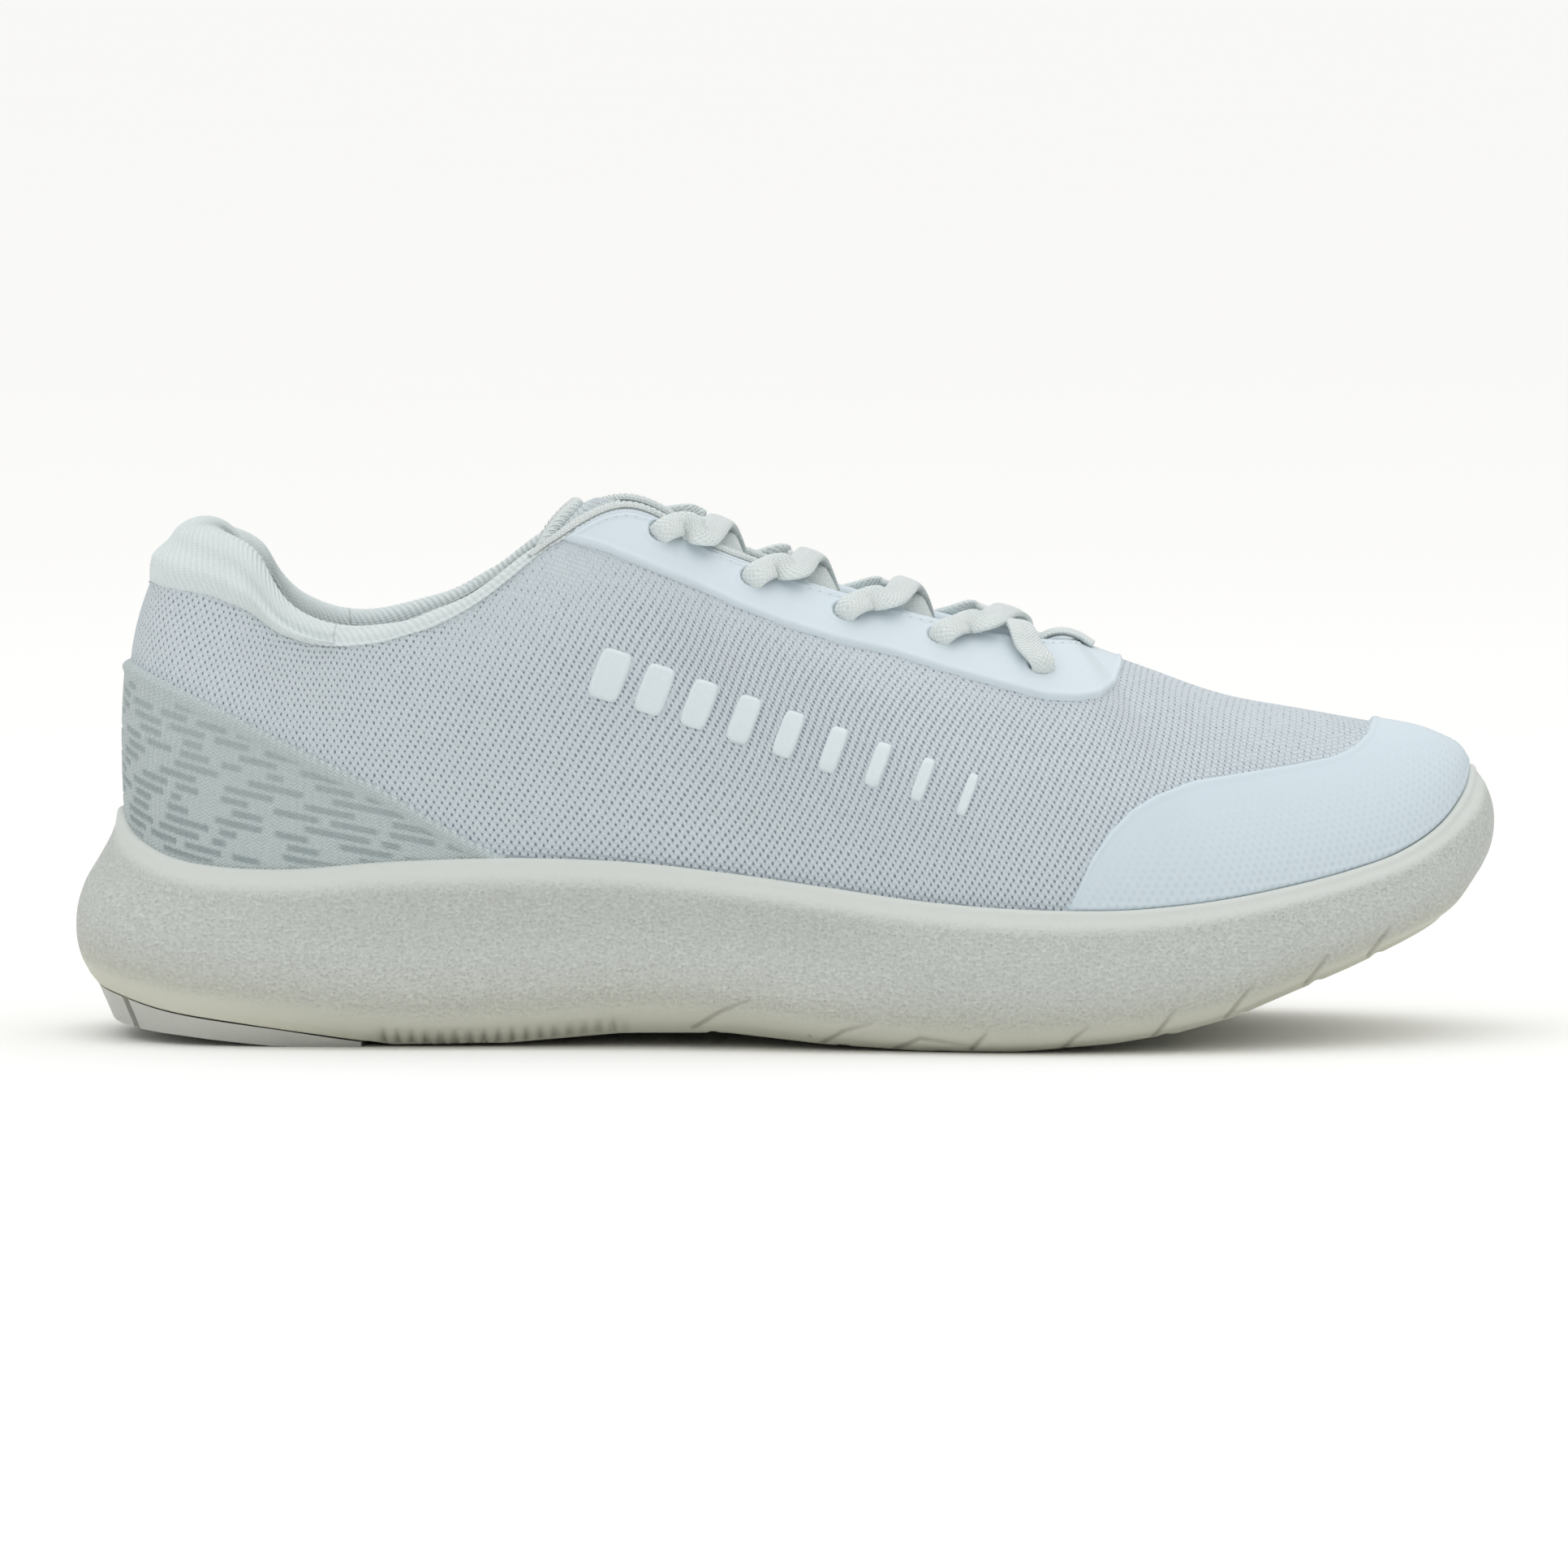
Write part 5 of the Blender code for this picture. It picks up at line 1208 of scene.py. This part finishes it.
P = pos[:, None] + W[:, None] * (sx[None, :, None] * (width * (1 + 0.02 * np.sin(LACE_LEN / 2.3)))[:, None, None] / 2) + B[:, None] * (sy[None, :, None] * (thick_ * puff)[:, None, None] / 2)
pat = np.stack([LACE_LEN[:, None] + 0 * P[..., 0], sx[None] * width[:, None] / 2, np.sign(sy)[None] + 0 * P[..., 0]], -1)
lace = grid_mesh("lace_band", P, LACE, pat, None, wrap_v=True, caps=True)
on(lace, "shoe", "lace", "lace")

for name in ("lace_tip_lateral", "lace_tip_medial"):
    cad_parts[name].data.materials.clear()
    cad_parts[name].data.materials.append(TIP)

# The overlocked edge of the knit, rising above the film from the collar to the second eyelets.
cords = []
for side in (-1, 1):
    q = np.arange(5.75, 8.95, 0.02)
    st = q if side < 0 else LOOP - q
    top_ = rib(st, 1.0)
    up_ = top_ - rib(st, 0.97)
    up_ /= np.linalg.norm(up_, axis=1, keepdims=True)
    rise_ = np.clip((q - 5.75) / 0.6, 0, 1) * np.clip((8.95 - q) / 0.5, 0, 1)
    path_ = top_ + up_ * (0.25 + 0.45 * rise_)[:, None] + normal(st, 0.985) * (0.35 * rise_ - 0.2)[:, None]
    radius_ = 0.7 + 0.45 * rise_
    cords.append(tube_mesh("cord_%d" % side, path_, radius_, LACE, 14, TAU / 1.25, 0.12))
throat_cord = join("throat_binding", cords)
on(throat_cord, "shoe", "lace")

# Dark discs of painted shade behind each eyelet, standing in for the shade in the holes.
discs = []
for s, v in holes:
    for q in (s, LOOP - s):
        c = skin(q, v, -1.7)[0]
        n = normal(q, v)[0]
        x = np.cross(n, (0, 0, 1.0)); x /= np.linalg.norm(x)
        y = np.cross(n, x)
        aa = np.linspace(0, TAU, 20, endpoint=False)
        rr = np.array([0.01, 1.5, 2.3])
        P = c + (x * np.cos(aa)[:, None, None] + y * np.sin(aa)[:, None, None]) * rr[None, :, None]
        pat = np.zeros(P.shape)
        discs.append(grid_mesh("disc", P, EYELET_SHADE, pat, n + 0 * P, wrap_u=True, weld=0.005))
eyelet_shade_discs = join("eyelet_shade_discs", discs)
on(eyelet_shade_discs, "shoe", "stiffener")

# The stitched bar at the throat's front.
def pillow(name, centre, size, mat, power=4.0, n=24):
    th, ph = np.linspace(0, math.pi, n), np.linspace(0, TAU, 2 * n, endpoint=False)
    e = 2.0 / power
    f = lambda w: np.sign(w) * np.abs(w) ** e
    x = f(np.sin(th))[:, None] * f(np.cos(ph))[None]
    y = f(np.sin(th))[:, None] * f(np.sin(ph))[None]
    z = f(np.cos(th))[:, None] + 0 * ph[None]
    P = np.array(centre) + np.stack([x * size[0] / 2, y * size[1] / 2, z * size[2] / 2], -1)
    return grid_mesh(name, P, mat, P.copy(), None, wrap_v=True, weld=0.005)


strap = resample([(65.0, 0, 82.2), (62.2, 0, 84.0), (59.2, 0, 84.9), (56.2, 0, 84.6), (53.6, 0, 83.2), (51.6, 0, 81.2)], 0.4)
strap_t = np.gradient(strap, axis=0)
strap_t /= np.linalg.norm(strap_t, axis=1, keepdims=True)
strap_n = np.cross(strap_t, np.array([0, 1.0, 0])) * -1
aa = np.linspace(0, TAU, 24, endpoint=False)
P = strap[:, None] + np.array([0, 1.0, 0]) * (np.sign(np.cos(aa)) * np.abs(np.cos(aa)) ** 0.6 * 3.9)[None, :, None] + strap_n[:, None] * (np.sin(aa) * 0.85)[None, :, None]
pat = np.stack([arc(strap)[:, None] + 0 * P[..., 0], P[..., 1], 0 * P[..., 0]], -1)
loop_bar = grid_mesh("throat_loop", P, LACE, pat, None, wrap_v=True, caps=True)
on(loop_bar, "shoe", "lace", "lace_loop")


# ------------------------------------------------------------------ stitching
def stitches(name, path, n, mat, length=1.7, gap=0.75, radius=0.24, sink=0.05):
    """Short raised threads along a path on the surface; n is the way out at each point."""
    L = arc(path)
    count = int(L[-1] / (length + gap))
    objs, faces_all, pts_all, base_i = [], [], [], 0
    a = np.linspace(0, TAU, 7, endpoint=False)
    for i in range(count):
        q = L[-1] * (i + 0.5) / count + np.linspace(-0.5, 0.5, 6) * length
        c = np.stack([np.interp(q, L, path[:, j]) for j in range(3)], 1)
        nn = np.stack([np.interp(q, L, n[:, j]) for j in range(3)], 1)
        t = np.gradient(c, axis=0)
        t /= np.linalg.norm(t, axis=1, keepdims=True)
        w = np.cross(t, nn)
        w /= np.linalg.norm(w, axis=1, keepdims=True)
        h = np.sin(np.linspace(0, math.pi, 6))
        r = radius * (0.25 + 0.75 * h)
        c = c + nn * (-sink - 0.12 + 0.22 * h)[:, None]
        ring = c[:, None] + (w[:, None] * np.cos(a)[None, :, None] + nn[:, None] * np.sin(a)[None, :, None]) * r[:, None, None]
        idx = base_i + np.arange(42).reshape(6, 7)
        for r0 in range(5):
            for k0 in range(7):
                k1 = (k0 + 1) % 7
                faces_all.append([idx[r0, k0], idx[r0 + 1, k0], idx[r0 + 1, k1], idx[r0, k1]])
        faces_all += [idx[0].tolist(), idx[5][::-1].tolist()]
        pts_all.append(ring.reshape(-1, 3))
        base_i += 42
    me = bpy.data.meshes.new(name)
    me.from_pydata((np.concatenate(pts_all) * MM).tolist(), [], [[int(i) for i in f] for f in faces_all])
    bm = bmesh.new()
    bm.from_mesh(me)
    bmesh.ops.recalc_face_normals(bm, faces=bm.faces)
    bm.to_mesh(me)
    bm.free()
    me.shade_smooth()
    me.materials.append(mat)
    o = bpy.data.objects.new(name, me)
    bpy.context.scene.collection.objects.link(o)
    return o


rows_of = []
for side in (-1, 1):
    q = np.arange(6.55, 12.4, 0.03)
    st = q if side < 0 else LOOP - q
    v = np.full(len(q), 0.962)
    rows_of.append(stitches("st", skin(st, v, FILM_D + 0.02), normal(st, v), THREAD, 1.5, 0.7, 0.20))
o = join("throat_stitching", rows_of)
across_flex(o, "lace")

q = np.arange(-6.3, 6.31, 0.03)
v = np.interp(fold(q)[0], range(8), SEAM) - 0.012
o = stitches("collar_stitching", skin(q, v, 0.12), normal(q, v), THREAD, 1.3, 0.6, 0.17)
on(o, "shoe", "lace")

# ------------------------------------------------------------------ carried-over parts inside
for name, mat in (("heel_counter", STIFF), ("toe_puff", STIFF)):
    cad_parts[name].data.materials.clear()
    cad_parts[name].data.materials.append(mat)

# ------------------------------------------------------------------ studio
scene = bpy.context.scene
scene.view_settings.view_transform = "Standard"
me = bpy.data.meshes.new("floor")
me.from_pydata([(-40, -20, 0), (40, -20, 0), (40, 60, 0), (-40, 60, 0)], [], [(0, 1, 2, 3)])
floor_obj = bpy.data.objects.new("floor", me)
scene.collection.objects.link(floor_obj)
floor_look = Look("floor_look", 0.9, (0.968, 0.964, 0.946), Specular_IOR_Level=0.1)
_c = floor_look.node("ShaderNodeTexCoord").outputs["Object"]
floor_look.colour(floor_look.mix(floor_look.noise(_c, 3.0), (0.968, 0.964, 0.946), (0.962, 0.958, 0.940)))
me.materials.append(floor_look.m)

world = bpy.data.worlds.new("studio")
scene.world = world
world.use_nodes = True
# A white studio: bright above, dimmer at the sides.
wt = world.node_tree
sky = wt.nodes.new("ShaderNodeTexCoord")
part_ = wt.nodes.new("ShaderNodeSeparateXYZ")
fade = wt.nodes.new("ShaderNodeMapRange")
wt.links.new(sky.outputs["Generated"], part_.inputs[0])
wt.links.new(part_.outputs[2], fade.inputs["Value"])
for key, value in (("From Min", 0.0), ("From Max", 0.9), ("To Min", 0.25), ("To Max", 1.27)):
    fade.inputs[key].default_value = value
wt.links.new(fade.outputs["Result"], wt.nodes["Background"].inputs[1])
wt.nodes["Background"].inputs[0].default_value = (1.0, 1.0, 1.0, 1)


def softbox(name, place, target, size, power, colour=(1, 1, 1)):
    light = bpy.data.lights.new(name, "AREA")
    light.shape, light.size, light.size_y = "RECTANGLE", size[0], size[1]
    light.energy, light.color = power, colour
    o = bpy.data.objects.new(name, light)
    scene.collection.objects.link(o)
    o.location = place
    from mathutils import Vector
    o.rotation_euler = (Vector(target) - Vector(place)).to_track_quat("-Z", "Y").to_euler()
    return o


softbox("overhead", (0.0, 0.1, 1.5), (0, 0, 0), (1.6, 1.6), 2.8)
softbox("front_left", (-1.1, -1.5, 1.0), (0, 0, 0.05), (0.9, 0.9), 1.9)
softbox("front_right", (1.3, -1.2, 0.7), (0, 0, 0.05), (0.8, 0.8), 0.4)

camera = bpy.data.cameras.new("camera")
cam = bpy.data.objects.new("camera", camera)
scene.collection.objects.link(cam)
distance, elevation = 2.6, math.radians(4.3)
aim = (-0.0002, 0.0, 0.0556 - 0.003)
cam.location = (aim[0], aim[1] - distance * math.cos(elevation), aim[2] + distance * math.sin(elevation))
cam.rotation_euler = (math.radians(90) - elevation, 0, 0)
camera.sensor_width = 36
camera.lens = 36 * distance / 0.3316
camera.clip_start, camera.clip_end = 0.05, 200
scene.camera = cam
